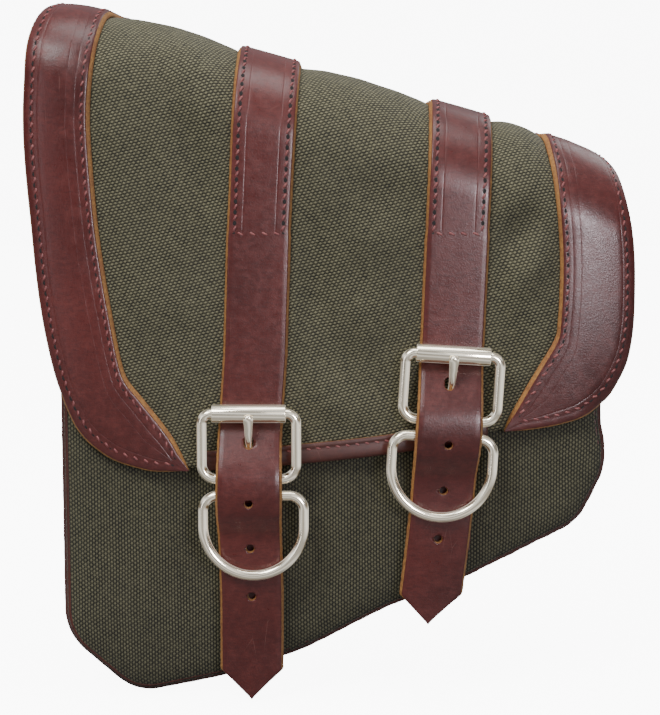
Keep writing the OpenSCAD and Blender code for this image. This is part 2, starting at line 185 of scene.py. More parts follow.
def line_distance(x, z, line):
    """distance to an open line, and the share of its length at the nearest point"""
    starts = line[:-1]
    spans = line[1:] - starts
    squares = (spans ** 2).sum(1) + 1e-12
    shape = x.shape
    x, z = x.ravel(), z.ravel()
    best = np.full(x.shape, 1e9)
    where = np.zeros(x.shape)
    run = np.concatenate([[0], np.cumsum(np.sqrt(squares))])
    for i, ((x0, z0), (dx, dz), square) in enumerate(zip(starts, spans, squares)):
        t = np.clip(((x - x0) * dx + (z - z0) * dz) / square, 0, 1)
        dist = np.hypot(x - x0 - t * dx, z - z0 - t * dz)
        nearer = dist < best
        best[nearer] = dist[nearer]
        where[nearer] = (run[i] + t * math.sqrt(square))[nearer]
    return best.reshape(shape), (where / run[-1]).reshape(shape)


def inside(x, z, polygon):
    shape = x.shape
    x, z = x.ravel(), z.ravel()
    result = np.zeros(x.shape, bool)
    for (x0, z0), (x1, z1) in zip(polygon, np.roll(polygon, -1, 0)):
        crosses = (z0 > z) != (z1 > z)
        with np.errstate(divide="ignore", invalid="ignore"):
            result ^= crosses & (x < (x1 - x0) * (z - z0) / (z1 - z0 + 1e-30) + x0)
    return result.reshape(shape)


def smoothstep(t):
    t = np.clip(t, 0, 1)
    return t * t * (3 - 2 * t)


def bell(x, centre, width):
    return math.exp(-((x - centre) / width) ** 2)


rng = np.random.default_rng(7)
WAVE_PHASE = rng.uniform(0, 6.283, (8, 3))[:, 0]
WAVE_ANGLE = rng.uniform(0, 6.283, 8)


def waves(x, z, wavelength, seed):
    """smooth noise of about unit size"""
    total = 0
    for i in range(8):
        angle = WAVE_ANGLE[i] + seed * 1.7
        k = 6.283 / (wavelength * (0.7 + 0.12 * i))
        total = total + np.sin(k * (x * math.cos(angle) + z * math.sin(angle))
                               + WAVE_PHASE[i] + seed * (i + 1.3))
    return total / 4.0


def inset(line, distance):
    """open line moved to its left for a positive distance (a number, or one per point)"""
    t = unit(np.gradient(line, axis=0))
    return line + np.reshape(distance, (-1, 1)) * np.stack([-t[:, 1], t[:, 0]], -1)


def flap_line(top, low):
    """line on the unrolled flap given by (x, arc), then by (x, zf)"""
    return smooth_curve([[x, unrolled_z(x, arc)] for x, arc in top] + low, 6)


# ---------------------------------------------------------------- outlines
# bag's outline: down the left, across the bottom, up the right; its left side is the inside
BODY_CORNERS = [  # x, z, corner radius
    (-137.8, 230, 0), (-137.8, -147.6, 30), (-101, -179.4, 25), (-54.8, -169.8, 60),
    (-13, -155.3, 80), (28.5, -133.4, 100), (69.7, -117.2, 120), (127.5, -87.5, 25),
    (140.9, -60.6, 25), (140.9, -47, 14), (138.6, -34, 30), (138, 230, 0)]
BODY = inset(resample(rounded(BODY_CORNERS), step=2.0), 1.5)
BODY_LINE = resample(BODY, step=1.5)
# flap's sides, from the hinge down
FLAP_LEFT = flap_line(
    [[-134.2, 4], [-134.2, 18], [-134.4, 31], [-136, 45], [-138.6, 58], [-141.6, 70],
     [-144.8, 83], [-147.4, 95], [-149.6, 108], [-150.9, 120]],
    [[-151.7, 134], [-152.4, 122], [-152.5, 108], [-151.9, 94], [-150.9, 80], [-149.6, 65],
     [-148.1, 45.6], [-146, 26], [-142.8, 6], [-137.8, -15], [-130.3, -33.3], [-123.9, -42.4],
     [-117, -48.4], [-108.9, -53.4], [-96.9, -57.3], [-86.9, -59], [-71.2, -58.4]])
FLAP_RIGHT = flap_line(
    [[133.5, 4], [133.5, 18], [134, 31], [136.5, 44], [140.5, 57], [144, 70], [146.8, 82],
     [148.4, 92], [150, 104], [151.4, 115], [152.3, 126]],
    [[153, 45], [153.3, 31], [153.1, 17], [151.9, 4.9], [149.6, -5.3], [144.8, -15.5],
     [139.7, -22.9], [128.8, -30.9], [114.7, -35.3], [99.7, -37.7], [87.6, -38.3]])
# flap's lower edge (x, z), left to right
FLAP_BOTTOM = smooth_curve([[-71.2, -58.4], [-42, -56.8], [-15, -54.2], [30, -49.2],
                            [60, -44.4], [87.6, -38.3]])
# inner edges of the side trims, from the hinge down
TRIM_IN_LEFT = flap_line(
    [[-105, 4], [-105.6, 16], [-107, 30], [-108.4, 45], [-110, 60], [-112, 75], [-114, 92],
     [-115.4, 103], [-117.2, 120]],
    [[-118.2, 122], [-118.2, 109.2], [-116.9, 86.2], [-115, 63.2], [-112, 40.3],
     [-108.2, 17.3], [-104.7, -2], [-101.3, -12.2], [-93.3, -22.5], [-79.6, -40.8],
     [-71.2, -57.8]])
TRIM_IN_RIGHT = flap_line(
    [[107.6, 4], [107.7, 18], [107.8, 32], [108, 46], [108.2, 60], [108.8, 76], [109.6, 89],
     [111, 102], [112.2, 115], [113.4, 126]],
    [[114.4, 50], [114.5, 34.5], [113.8, 17.3], [112.2, 8], [102.6, -8.7], [91.4, -28.6],
     [87.7, -37.7]])
FLAP_RIGHT_UP = FLAP_RIGHT[::-1]
SIDE_LINES = (np.vstack([[[-134.2, 330]], FLAP_LEFT]),
              np.vstack([FLAP_RIGHT_UP, [[133.5, 330]]]))
FLAP_LOWER = np.vstack([FLAP_LEFT[FLAP_LEFT[:, 1] < 60], FLAP_BOTTOM[1:],
                        FLAP_RIGHT_UP[FLAP_RIGHT_UP[:, 1] < 8][1:]])
STRAP_CENTRE = {  # heights, and the x of the strap's middle at each
    "left": ([-200, -171, -122, -82, -42, -28, 0, 60, 120, 150, 300],
             [-40.2, -40.0, -39.6, -40.6, -40.2, -39.4, -37.4, -35.4, -32.4, -31.0, -31.0]),
    "right": ([-200, -134, -102, -72, -42, -17, 13, 60, 118, 150, 300],
              [48.0, 50.0, 53.6, 56.6, 58.6, 60.0, 61.4, 63.2, 65.4, 66.6, 66.6])}


def strap_x(side, z):
    return np.interp(z, *STRAP_CENTRE[side])


def bottom_z(x):
    """height of the flap's lower edge"""
    return np.interp(x, FLAP_LOWER[:, 0], FLAP_LOWER[:, 1])


# ---------------------------------------------------------------- soft surfaces
def edge_round(dist, width, depth):
    q = 1 - np.clip(dist / width, 0, 1)
    return -depth * (1 - np.sqrt(np.clip(1 - q * q, 0, 1)))


def body_setback(x, z):
    """how far the front canvas stands back from a flat face"""
    dist, _ = line_distance(x, z, BODY)
    dist = np.where(inside(x, z, BODY), dist, -dist)
    within = np.clip(dist, 0, None)
    off = -3.0 * np.exp(-(within / 30) ** 1.3) + edge_round(within, width=15, depth=6.5)
    return off + np.where(dist < 0, 0.25 * dist, 0)


def flap_setback(x, zf):
    dist = np.minimum(*(line_distance(x, zf, line)[0] for line in SIDE_LINES))
    raw = -3.0 * np.exp(-(dist / 26) ** 1.3) + edge_round(dist, width=20, depth=4.2)
    blend = 1.2    # smooth maximum: the flap follows the higher of itself and the bag's front
    merged = np.log(np.exp(raw / blend) + np.exp(body_setback(x, zf) / blend)) * blend
    low = smoothstep((60 - zf) / 40)
    off = raw * (1 - low) + merged * low
    return off * smoothstep(arc_at(x, zf) / 30)


def flap_point(x, zf, off, extra=0):
    """point on the flap's outer face, lifted along the face's normal"""
    x, zf, off = np.broadcast_arrays(*(np.asarray(v, float) for v in (x, zf, off)))
    arc = arc_at(x, zf)
    turn = np.clip((arc - TOP_FLAT) / FOLD_R, 0, math.pi / 2)
    n = np.where(arc < TOP_FLAT, arc, TOP_FLAT + FOLD_R * np.sin(turn))
    rise = np.where(arc < TOP_FLAT, 0, -FOLD_R + FOLD_R * np.cos(turn))
    rise = rise - np.clip(arc - FOLD_END, 0, None)
    normal_n, normal_up = np.sin(turn), np.cos(turn)
    behind = arc < 0    # behind the hinge line the sheet turns down the back
    n, rise = np.where(behind, 0, n), np.where(behind, arc, rise)
    normal_n, normal_up = np.where(behind, -1, normal_n), np.where(behind, 0, normal_up)
    off = off + flap_setback(x, zf) + extra
    return np.stack([x + off * normal_up * SIN, n + off * normal_n,
                     tilted_z(x, rise) + off * normal_up * COS], -1)


def flap_seam(x, zf, low, high, extra=0):
    """points and unit normals of a stitch row, low above the flap's face"""
    base = flap_point(x, zf, low, extra)
    return base, unit(flap_point(x, zf, high, extra) - base)


def creases(x, z, table):
    total = 0
    for width, height, points in table:
        dist, share = line_distance(x, z, smooth_curve(points, 6))
        total = total + (height * np.exp(-(dist / width) ** 2)
                         * np.sin(math.pi * np.clip(share * 0.84 + 0.08, 0, 1)) ** 0.6)
    return total


# width, height (negative sinks in), points (x, z)
FLAP_CREASES = [
    (10, -2.3, [[-92, 168], [-84, 138], [-68, 98], [-58, 70], [-55, 40]]),
    (13, 1.3, [[-113, 120], [-104, 90], [-98, 50], [-92, 20]]),
    (9, 1.2, [[-70, 150], [-56, 128], [-52, 110]]),
    (12, -1.7, [[-16, 55], [-10, 30], [2, 8], [18, -10]]),
    (13, 1.2, [[-8, 90], [12, 66], [38, 60]]),
    (9, 1.3, [[-12, 0], [0, -22], [20, -34]]),
    (8, -2.0, [[114, 78], [98, 66], [82, 52], [78, 30]]),
    (9, 1.4, [[113, 50], [100, 42], [90, 30]]),
    (8, -1.0, [[88, 20], [92, 0], [86, -14]])]
BODY_CREASES = [
    (11, 1.3, [[-88, -60], [-90, -100], [-96, -140]]),
    (9, -1.4, [[-64, -60], [-66, -95], [-70, -135]]),
    (10, 1.3, [[4, -52], [5, -80], [0, -118]]),
    (8, -1.6, [[20, -50], [20, -80], [16, -112]]),
    (8, -1.0, [[-16, -88], [-12, -112], [-22, -134]]),
    (9, 1.1, [[96, -48], [94, -72], [90, -90]]),
    (8, -0.9, [[112, -52], [116, -68], [112, -82]]),
    (8, 0.9, [[-126, -70], [-122, -105], [-112, -140]])]
SWELL = ([-30, 0, 30, 62, 100, 140, 200, 300], [0, 0, 1.8, 3.0, 3.3, 2.4, 1.3, 1.0])  # arc, mm


def gaps(x, zf):
    """in the canvas between leather parts: share across (-1 outside), distance to its edge"""
    def trim_x(line, lowest):
        return np.interp(np.clip(zf, lowest, 300), line[::-1, 1], line[::-1, 0])
    left, right = strap_x("left", zf), strap_x("right", zf)
    edges = [(trim_x(TRIM_IN_LEFT, -57), left - STRAP_CLEAR),
             (left + STRAP_CLEAR, right - STRAP_CLEAR),
             (right + STRAP_CLEAR, trim_x(TRIM_IN_RIGHT, -37))]
    share = np.full(x.shape, -1.0)
    dist = np.zeros(x.shape)
    for start, end in edges:
        within = (x > start) & (x < end)
        share = np.where(within, (x - start) / np.maximum(end - start, 1), share)
        dist = np.where(within, np.minimum(x - start, end - x), dist)
    return share, dist


def pillow(x, zf):
    """the canvas's swell between the straps, and its creases"""
    share, dist = gaps(x, zf)
    arc = arc_at(x, zf)
    swell = np.where(share >= 0,
                     np.interp(arc, *SWELL) * np.sin(math.pi * np.clip(share, 0, 1)) ** 0.75,
                     -0.25 * smoothstep(arc / 20))
    mask = smoothstep(dist / 14) * smoothstep(arc / 25)
    folds = creases(x, zf, FLAP_CREASES)
    folds += 0.28 * waves(x, zf, 46, seed=1) + 0.10 * waves(x, zf, 19, seed=2)
    up = zf - bottom_z(x)
    return swell * smoothstep(up / 30) + 1.75 * folds * mask * smoothstep(up / 26)


def lift(x, zf):
    """the flap's lower edge stands off the bag between the straps"""
    up = zf - bottom_z(x)
    return 1.5 * np.exp(-((x - 9) / 26.0) ** 2) * np.exp(-(np.clip(up, 0, None) / 22.0) ** 2)


def body_folds(x, z):
    return (creases(x, z, BODY_CREASES)
            + 0.3 * waves(x, z, 52, seed=3) + 0.10 * waves(x, z, 20, seed=4))


# ---------------------------------------------------------------- mesh helpers
def make(name, points, faces, mats, face_mats=None, uv=None):
    """smooth-shaded object from points in metres; uv holds one pair per point"""
    mesh = bpy.data.meshes.new(name)
    mesh.from_pydata([tuple(p) for p in np.asarray(points, float)], [],
                     [tuple(int(i) for i in face) for face in faces])
    for mat in mats:
        mesh.materials.append(mat)
    if face_mats is not None:
        mesh.polygons.foreach_set("material_index", np.asarray(face_mats, np.int32))
    mesh.polygons.foreach_set("use_smooth", np.ones(len(mesh.polygons), bool))
    if uv is not None:
        layer = mesh.uv_layers.new(name="UVMap")
        index = np.zeros(len(mesh.loops), np.int32)
        mesh.loops.foreach_get("vertex_index", index)
        layer.data.foreach_set("uv", np.asarray(uv, np.float32)[index].ravel())
    mesh.validate()
    ob = bpy.data.objects.new(name, mesh)
    bpy.context.scene.collection.objects.link(ob)
    return ob


def grid_faces(rows, cols, close_rows=False, close_cols=False, base=0):
    i, j = np.meshgrid(np.arange(rows if close_rows else rows - 1),
                       np.arange(cols if close_cols else cols - 1), indexing="ij")
    i1, j1 = (i + 1) % rows, (j + 1) % cols
    corners = [i * cols + j, i * cols + j1, i1 * cols + j1, i1 * cols + j]
    return np.stack(corners, -1).reshape(-1, 4) + base


def fix_normals(ob):
    bm = bmesh.new()
    bm.from_mesh(ob.data)
    bmesh.ops.recalc_face_normals(bm, faces=bm.faces)
    bm.to_mesh(ob.data)
    bm.free()


def apply_modifiers(ob):
    graph = bpy.context.evaluated_depsgraph_get()
    mesh = bpy.data.meshes.new_from_object(ob.evaluated_get(graph),
                                           preserve_all_data_layers=True, depsgraph=graph)
    ob.modifiers.clear()
    ob.data = mesh


def thicken(ob, thickness):
    """give a sheet its thickness, inwards"""
    mod = ob.modifiers.new("s", "SOLIDIFY")
    mod.thickness = thickness / 1000
    mod.offset = -1
    mod.use_even_offset = True
    apply_modifiers(ob)


def sweep(name, rings, mats, column_mats):
    """skin over rings (rows, columns, 3), each a closed loop, with both ends closed"""
    rings = np.array(rings)
    rows, cols, _ = rings.shape
    faces = list(grid_faces(rows, cols, close_cols=True))
    faces += [np.arange(cols)[::-1], np.arange(cols) + (rows - 1) * cols]
    face_mats = column_mats * (rows - 1) + [column_mats[0]] * 2
    ob = make(name, to_frame(rings.reshape(-1, 3)), faces, mats, face_mats)
    fix_normals(ob)
    return ob


def leather_columns(top_count, flesh_count):
    """slots around a leather section: raw edge, smooth top, raw edge, flesh side"""
    return [1] * 3 + [0] * (top_count - 1) + [1] * 3 + [2] * flesh_count


# ---------------------------------------------------------------- materials
class Nodes:
    """short calls for a node tree; an input may be given as a number, colour or socket"""
    def __init__(self, tree, output="ShaderNodeOutputMaterial",
                 shader="ShaderNodeBsdfPrincipled"):
        self.tree = tree
        tree.nodes.clear()
        out = tree.nodes.new(output)
        self.shader = tree.nodes.new(shader)
        tree.links.new(self.shader.outputs[0], out.inputs[0])

    def node(self, kind):
        return self.tree.nodes.new("ShaderNode" + kind)

    def put(self, value, socket):
        if hasattr(value, "is_output"):
            self.tree.links.new(value, socket)
        else:
            socket.default_value = value

    def finish(self, values):
        """fill the shader's inputs"""
        for key, value in values.items():
            self.put(value, self.shader.inputs[key])

    def math(self, operation, *values):
        node = self.node("Math")
        node.operation = operation
        for i, value in enumerate(values if len(values) > 1 else (*values, 0.0)):
            self.put(value, node.inputs[i])
        return node.outputs[0]

    def add(self, first, second):
        return self.math("ADD", first, second)

    def sub(self, first, second):
        return self.math("SUBTRACT", first, second)

    def mul(self, value, factor):
        return self.math("MULTIPLY", value, factor)

    def mul_add(self, value, factor, plus):
        return self.math("MULTIPLY_ADD", value, factor, plus)

    def mix(self, share, first, second):
        """colour mix; colours are sockets or (r, g, b)"""
        node = self.node("Mix")
        node.data_type = "RGBA"
        for i, value in ((0, share), (6, first), (7, second)):
            self.put((*value, 1) if isinstance(value, tuple) else value, node.inputs[i])
        return node.outputs[2]

    def noise(self, vector, scale, detail=3.0, rough=0.55, distort=0.0):
        node = self.node("TexNoise")
        values = {"Scale": scale, "Detail": detail, "Roughness": rough,
                  "Distortion": distort, "Vector": vector}
        for key, value in values.items():
            self.put(value, node.inputs[key])
        return node.outputs[0]

    def voronoi(self, vector, scale, feature="F1"):
        node = self.node("TexVoronoi")
        node.feature = feature
        node.inputs["Scale"].default_value = scale
        self.put(vector, node.inputs["Vector"])
        return node.outputs[0]

    def remap(self, value, src, out=(0.0, 1.0)):
        node = self.node("MapRange")
        node.clamp = True
        for i, number in enumerate((value, *src, *out)):
            self.put(number, node.inputs[i])
        return node.outputs[0]

    def split(self, vector):
        node = self.node("SeparateXYZ")
        self.put(vector, node.inputs[0])
        return node.outputs

    def coord(self, kind="Object"):
        return self.node("TexCoord").outputs[kind]

    def stretch(self, vector, factors):
        node = self.node("VectorMath")
        node.operation = "MULTIPLY"
        self.put(vector, node.inputs[0])
        self.put(factors, node.inputs[1])
        return node.outputs[0]

    def camera_ray(self):
        return self.node("LightPath").outputs["Is Camera Ray"]

    def bump(self, height, distance, strength=1.0, normal=None):
        node = self.node("Bump")
        node.inputs["Distance"].default_value = distance
        node.inputs["Strength"].default_value = strength
        self.put(height, node.inputs["Height"])
        if normal is not None:
            self.put(normal, node.inputs["Normal"])
        return node.outputs[0]


def new_material(name):
    material = bpy.data.materials.new(name)
    material.use_nodes = True
    return material, Nodes(material.node_tree)


def canvas_material(name, repeat, row_pitch, light):
    """duck weave: rows of short threads, each second row moved by half a repeat.
    The uv is in mm, u along the showing thread"""
    material, g = new_material(name)
    obj = g.coord()
    along, across = g.split(g.coord("UV"))[:2]
    drift = g.sub(g.noise(obj, scale=40, detail=2), 0.5)
    slide = g.sub(g.noise(obj, scale=55, detail=2, rough=0.6, distort=0.3), 0.5)
    v = g.mul_add(drift, 0.9, g.math("DIVIDE", across, row_pitch))
    odd = g.math("PINGPONG", g.math("FLOOR", v), 1.0)
    u = g.add(g.mul_add(slide, 0.7, g.math("DIVIDE", along, repeat)), g.mul(odd, 0.5))
    cell_u = g.sub(g.math("FRACT", u), 0.5)
    cell_v = g.sub(g.math("FRACT", v), 0.5)
    uneven = g.sub(g.noise(obj, scale=330, detail=2, rough=0.6), 0.5)

    def bead(half_u, half_v, at_u):
        """domed oval; its half lengths are shares of the cell"""
        def term(value, half, power):
            return g.math("POWER", g.math("DIVIDE", g.math("ABSOLUTE", value), half), power)
        reach = g.add(term(at_u, half_u, 2.2), term(cell_v, half_v, 2.4))
        return g.math("SQRT", g.math("MAXIMUM", g.sub(1.0, reach), 0.0))

    # light scales every colour: painted light, so one copy of the weave can be painted brighter
    # than another
    def shade(*color):
        return tuple(channel * light for channel in color)

    showing = bead(half_u=0.37, half_v=0.46, at_u=cell_u)
    between = g.sub(0.5, g.math("ABSOLUTE", cell_u))    # the thread crossing between two beads
    crossing = g.mul(bead(half_u=0.26, half_v=0.58, at_u=between), 0.45)
    height = g.math("MAXIMUM", showing, crossing)
    fibre = g.noise(obj, scale=2600, detail=2, rough=0.7)
    blotch = g.noise(obj, scale=26, detail=4, rough=0.6)
    # colour runs from near black in the weave's hollows to light on the beads' tops: the dark
    # hollows are painted shade; uneven adds random tone
    bead_tone_and_hollow_shade = g.mul_add(uneven, 0.50, height)
    color = g.mix(g.remap(bead_tone_and_hollow_shade, src=(0.20, 1.00)),
                  shade(0.0062, 0.0060, 0.0040), shade(0.206, 0.190, 0.110))
    color = g.mix(g.remap(blotch, src=(0.35, 0.72), out=(0.0, 0.20)), color,
                  shade(0.040, 0.037, 0.025))
    lint = g.remap(g.voronoi(obj, scale=62), src=(0.0, 0.028), out=(1.0, 0.0))
    lint = g.mul(lint, g.remap(g.noise(obj, scale=300, detail=1), src=(0.5, 0.7)))
    color = g.mix(lint, color, (0.34, 0.33, 0.26))
    g.finish({"Base Color": color, "Roughness": 0.80, "Specular IOR Level": 0.26,
              "Sheen Weight": 0.09, "Sheen Roughness": 0.45,
              "Normal": g.bump(g.mul_add(fibre, 0.16, height), distance=0.00040,
                               strength=0.9)})
    return material


def leather_material(name, base=(0.122, 0.0200, 0.0168), dark=(0.046, 0.0080, 0.0076),
                     red=(0.190, 0.0320, 0.0250), rough=0.30, cut_sides=False):
    """polished leather; cut_sides shows raw leather on faces that look along x"""
    material, g = new_material(name)
    obj = g.coord()
    cloud = g.noise(obj, scale=14, detail=3, distort=0.3)
    mottle = g.noise(obj, scale=210, detail=4, rough=0.68)
    grain = g.noise(obj, scale=950, detail=3, rough=0.7)
    streak = g.noise(g.stretch(obj, (0.35, 1, 1)), scale=760, detail=3, rough=0.65)
    color = g.mix(g.remap(cloud, src=(0.34, 0.74), out=(0.0, 0.8)), base, dark)
    color = g.mix(g.remap(mottle, src=(0.46, 0.74), out=(0.0, 0.42)), color, red)
    color = g.mix(g.remap(streak, src=(0.46, 0.74), out=(0.0, 0.55)), color, dark)
    color = g.mix(g.remap(grain, src=(0.50, 0.80), out=(0.0, 0.35)), color, dark)
    cells = g.voronoi(g.stretch(obj, (1, 1, 0.16)), scale=140, feature="DISTANCE_TO_EDGE")
    scratch = g.remap(cells, src=(0.0, 0.012), out=(1.0, 0.0))
    scratch = g.mul(scratch, g.remap(g.noise(obj, scale=34, detail=2), src=(0.60, 0.74)))
    color = g.mix(g.mul(scratch, 0.35), color, (0.36, 0.18, 0.15))
    roughness = g.add(g.remap(mottle, src=(0.3, 0.75), out=(rough - 0.05, rough + 0.10)),
                      g.mul(grain, 0.05))
    relief = g.add(g.mul(g.voronoi(obj, scale=1500), 0.5), g.add(grain, g.mul(streak, 0.6)))
    normal = g.bump(relief, distance=0.00010, strength=0.55)
    normal = g.bump(cloud, distance=0.0009, strength=0.25, normal=normal)
    if cut_sides:
        facing = g.split(g.coord("Normal"))
        side = g.remap(g.math("ABSOLUTE", facing[0]), src=(0.76, 0.80))
        color = g.mix(side, color, (0.40, 0.20, 0.060))
        roughness = g.math("MAXIMUM", roughness, g.mul(side, 0.8))
    g.finish({"Base Color": color, "Roughness": roughness, "Normal": normal,
              "Specular IOR Level": 0.40, "Coat Weight": 0.0, "Coat Roughness": 0.22})
    return material


def raw_material(name, light, dark):
    material, g = new_material(name)
    obj = g.coord()
    fibre = g.noise(obj, scale=700, detail=4, rough=0.7)
    stain = g.noise(obj, scale=90, detail=3, rough=0.6)
    color = g.mix(g.remap(fibre, src=(0.35, 0.72)), light, dark)
    color = g.mix(g.remap(stain, src=(0.50, 0.75), out=(0.0, 0.6)), color, (0.24, 0.075, 0.03))
    g.finish({"Base Color": color, "Roughness": 0.82,
              "Normal": g.bump(fibre, distance=0.00025, strength=0.9)})
    return material


def thread_material(name):
    material, g = new_material(name)
    obj = g.coord()
    fibre = g.noise(obj, scale=1800, detail=3, rough=0.7)
    fade = g.noise(obj, scale=150, detail=2)
    color = g.mix(g.remap(fibre, src=(0.3, 0.75)), (0.30, 0.072, 0.070), (0.135, 0.026, 0.026))
    color = g.mix(g.remap(fade, src=(0.45, 0.7), out=(0.0, 0.4)), color, (0.42, 0.13, 0.11))
    g.finish({"Base Color": color, "Roughness": 0.5,
              "Normal": g.bump(fibre, distance=0.0002, strength=0.8)})
    return material


# painted reflection bands, given off as glow: position on the ramp from low to high reflections,
# brightness
PAINTED_REFLECTION_BANDS = [(0.0, 0.10), (0.16, 0.04), (0.27, 0.55), (0.36, 0.10), (0.43, 0.06),
              (0.50, 0.55), (0.56, 0.95), (0.62, 0.60), (0.69, 0.10), (0.78, 0.05),
              (0.86, 0.75), (0.93, 0.18), (1.0, 0.08)]


def nickel_material(name):
    material, g = new_material(name)
    obj = g.coord()
    cloud = g.noise(obj, scale=60, detail=3, rough=0.6)
    fine = g.noise(obj, scale=1400, detail=2, rough=0.6)
    color = g.mix(g.remap(cloud, src=(0.4, 0.75)), (0.78, 0.71, 0.58), (0.66, 0.59, 0.46))
    roughness = g.remap(g.add(cloud, g.mul(fine, 0.3)), src=(0.4, 1.0), out=(0.08, 0.20))
    # painted reflection: bands of a bright room in front of the bag, placed by the reflection's
    # direction and given off as glow
    reflected = g.split(g.coord("Reflection"))
    place_on_ramp = g.add(g.mul_add(reflected[2], 0.44, 0.5), g.mul(reflected[0], 0.16))
    ramp = g.node("ValToRGB")
    g.put(place_on_ramp, ramp.inputs[0])
    elements = ramp.color_ramp.elements
    while len(elements) < len(PAINTED_REFLECTION_BANDS):
        elements.new(0.5)
    for element, (position, value) in zip(elements, PAINTED_REFLECTION_BANDS):
        green, blue = (0.93, 0.78) if value > 0.3 else (0.76, 0.46)   # dark bands are warmer
        element.position = position
        element.color = (value, value * green, value * blue, 1)
    normal = g.bump(fine, distance=0.00003, strength=0.3)
    g.finish({"Base Color": color, "Metallic": 1.0, "Roughness": roughness,
              "Emission Color": ramp.outputs[0], "Emission Strength": 0.95,
              "Normal": g.bump(cloud, distance=0.0006, strength=0.25, normal=normal)})
    return material


def plain_material(name, color, roughness, scale=400):
    material, g = new_material(name)
    fine = g.noise(g.coord(), scale=scale, detail=3, rough=0.6)
    darker = tuple(channel * 0.7 for channel in color)
    g.finish({"Base Color": g.mix(g.remap(fine, src=(0.35, 0.7)), color, darker),
              "Roughness": roughness,
              "Normal": g.bump(fine, distance=0.00015, strength=0.6)})
    return material


# one weave in two painted lights: the bag's canvas painted darker (0.80), the flap's brighter
# (1.10), as if the flap's top got more light
CANVAS = canvas_material("canvas_weave", repeat=2.26, row_pitch=1.50, light=0.80)
CANVAS_FLAP_PAINTED_BRIGHTER = canvas_material("canvas_weave_flap_painted_brighter", repeat=2.27, row_pitch=1.45, light=1.10)
LEATHER = leather_material("bridle_leather")
LEATHER_THIN = leather_material("binding_leather", base=(0.100, 0.0200, 0.0115),
                                dark=(0.045, 0.0095, 0.0065), red=(0.140, 0.030, 0.016),
                                rough=0.46)
LEATHER_CUT = leather_material("bridle_leather_cut", cut_sides=True)
RAW = raw_material("raw_edge", light=(0.46, 0.215, 0.055), dark=(0.20, 0.078, 0.024))
FLESH = raw_material("flesh_side", light=(0.20, 0.10, 0.05), dark=(0.12, 0.055, 0.03))
THREAD = thread_material("waxed_thread")
THREAD_DARK = plain_material("dark_thread", (0.060, 0.016, 0.012), roughness=0.6, scale=1500)
# the metal glows with a painted reflection of a bright room
NICKEL = nickel_material("nickel_painted_reflection")
# near-black discs on the stitch holes: painted shade for the holes' insides
HOLE = plain_material("stitch_hole_painted_shade", (0.010, 0.006, 0.005), roughness=0.9)
BOARD = plain_material("black_board", (0.03, 0.03, 0.032), roughness=0.6, scale=900)


def place(ob, body, slot, *replaced):
    """say which body a piece rides on and which CAD nodes it replaces; slot is not used"""
    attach(ob, body)
    if replaced:
        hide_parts(*replaced)


# ---------------------------------------------------------------- stitches
# one stitch, end to end: share of its length, share of its radius, height in mm
STITCH = [(-0.5, 0.30, -0.75), (-0.44, 0.72, -0.32), (-0.26, 0.98, 0.02), (0.0, 1.05, 0.16),
          (0.26, 0.98, 0.02), (0.44, 0.72, -0.32), (0.5, 0.30, -0.75)]
STITCH_SIDES, HOLE_SIDES = 8, 10
HOLE_RINGS = [(0.98, -0.5, HOLE_SIDES), (1.02, 0.02, HOLE_SIDES), (0.7, 0.10, HOLE_SIDES),
              (0.0, 0.13, 1)]    # share of radius, height in mm, points


def circle_angles(count, sides):
    return [2 * math.pi * a / sides for a in range(count)]


def add_hole(verts, faces, at, radius):
    """flat dark oval, painted shade for the inside of a stitch hole; at is (point, normal, along,
    across)
    """
    p, normal, along, across = at
    base, sides = len(verts), HOLE_SIDES
    for share, height, count in HOLE_RINGS:
        for angle in circle_angles(count, sides):
            verts.append(p + along * share * radius * 0.98 * math.cos(angle)
                         + across * share * radius * 0.80 * math.sin(angle)
                         + normal * height)
    for a in range(sides):
        b = (a + 1) % sides
        for ring in (base, base + sides):
            faces.append((ring + a, ring + b, ring + sides + b, ring + sides + a))
        faces.append((base + 2 * sides + a, base + 2 * sides + b, base + 3 * sides))
    faces.append(tuple(base + a for a in range(sides - 1, -1, -1)))


def add_stitch(verts, faces, at, index, length, radius, slant, raise_by):
    p, normal, along, across = at
    base, sides = len(verts), STITCH_SIDES
    jitter = 0.12 * math.sin(index * 12.9898 + base * 0.01)
    axis = unit(along + across * (slant * 0.28 + jitter * 0.5))
    side = np.cross(normal, axis)
    for share, thick, height in STITCH:
        for angle in circle_angles(sides, sides):
            up = raise_by + height + radius * thick * 0.72 * math.sin(angle)
            verts.append(p + axis * share * length
                         + side * (radius * thick * math.cos(angle)) + normal * up)
    faces += list(grid_faces(len(STITCH), sides, close_cols=True, base=base))
    faces.append(tuple(base + a for a in range(sides - 1, -1, -1)))
    faces.append(tuple(base + (len(STITCH) - 1) * sides + a for a in range(sides)))


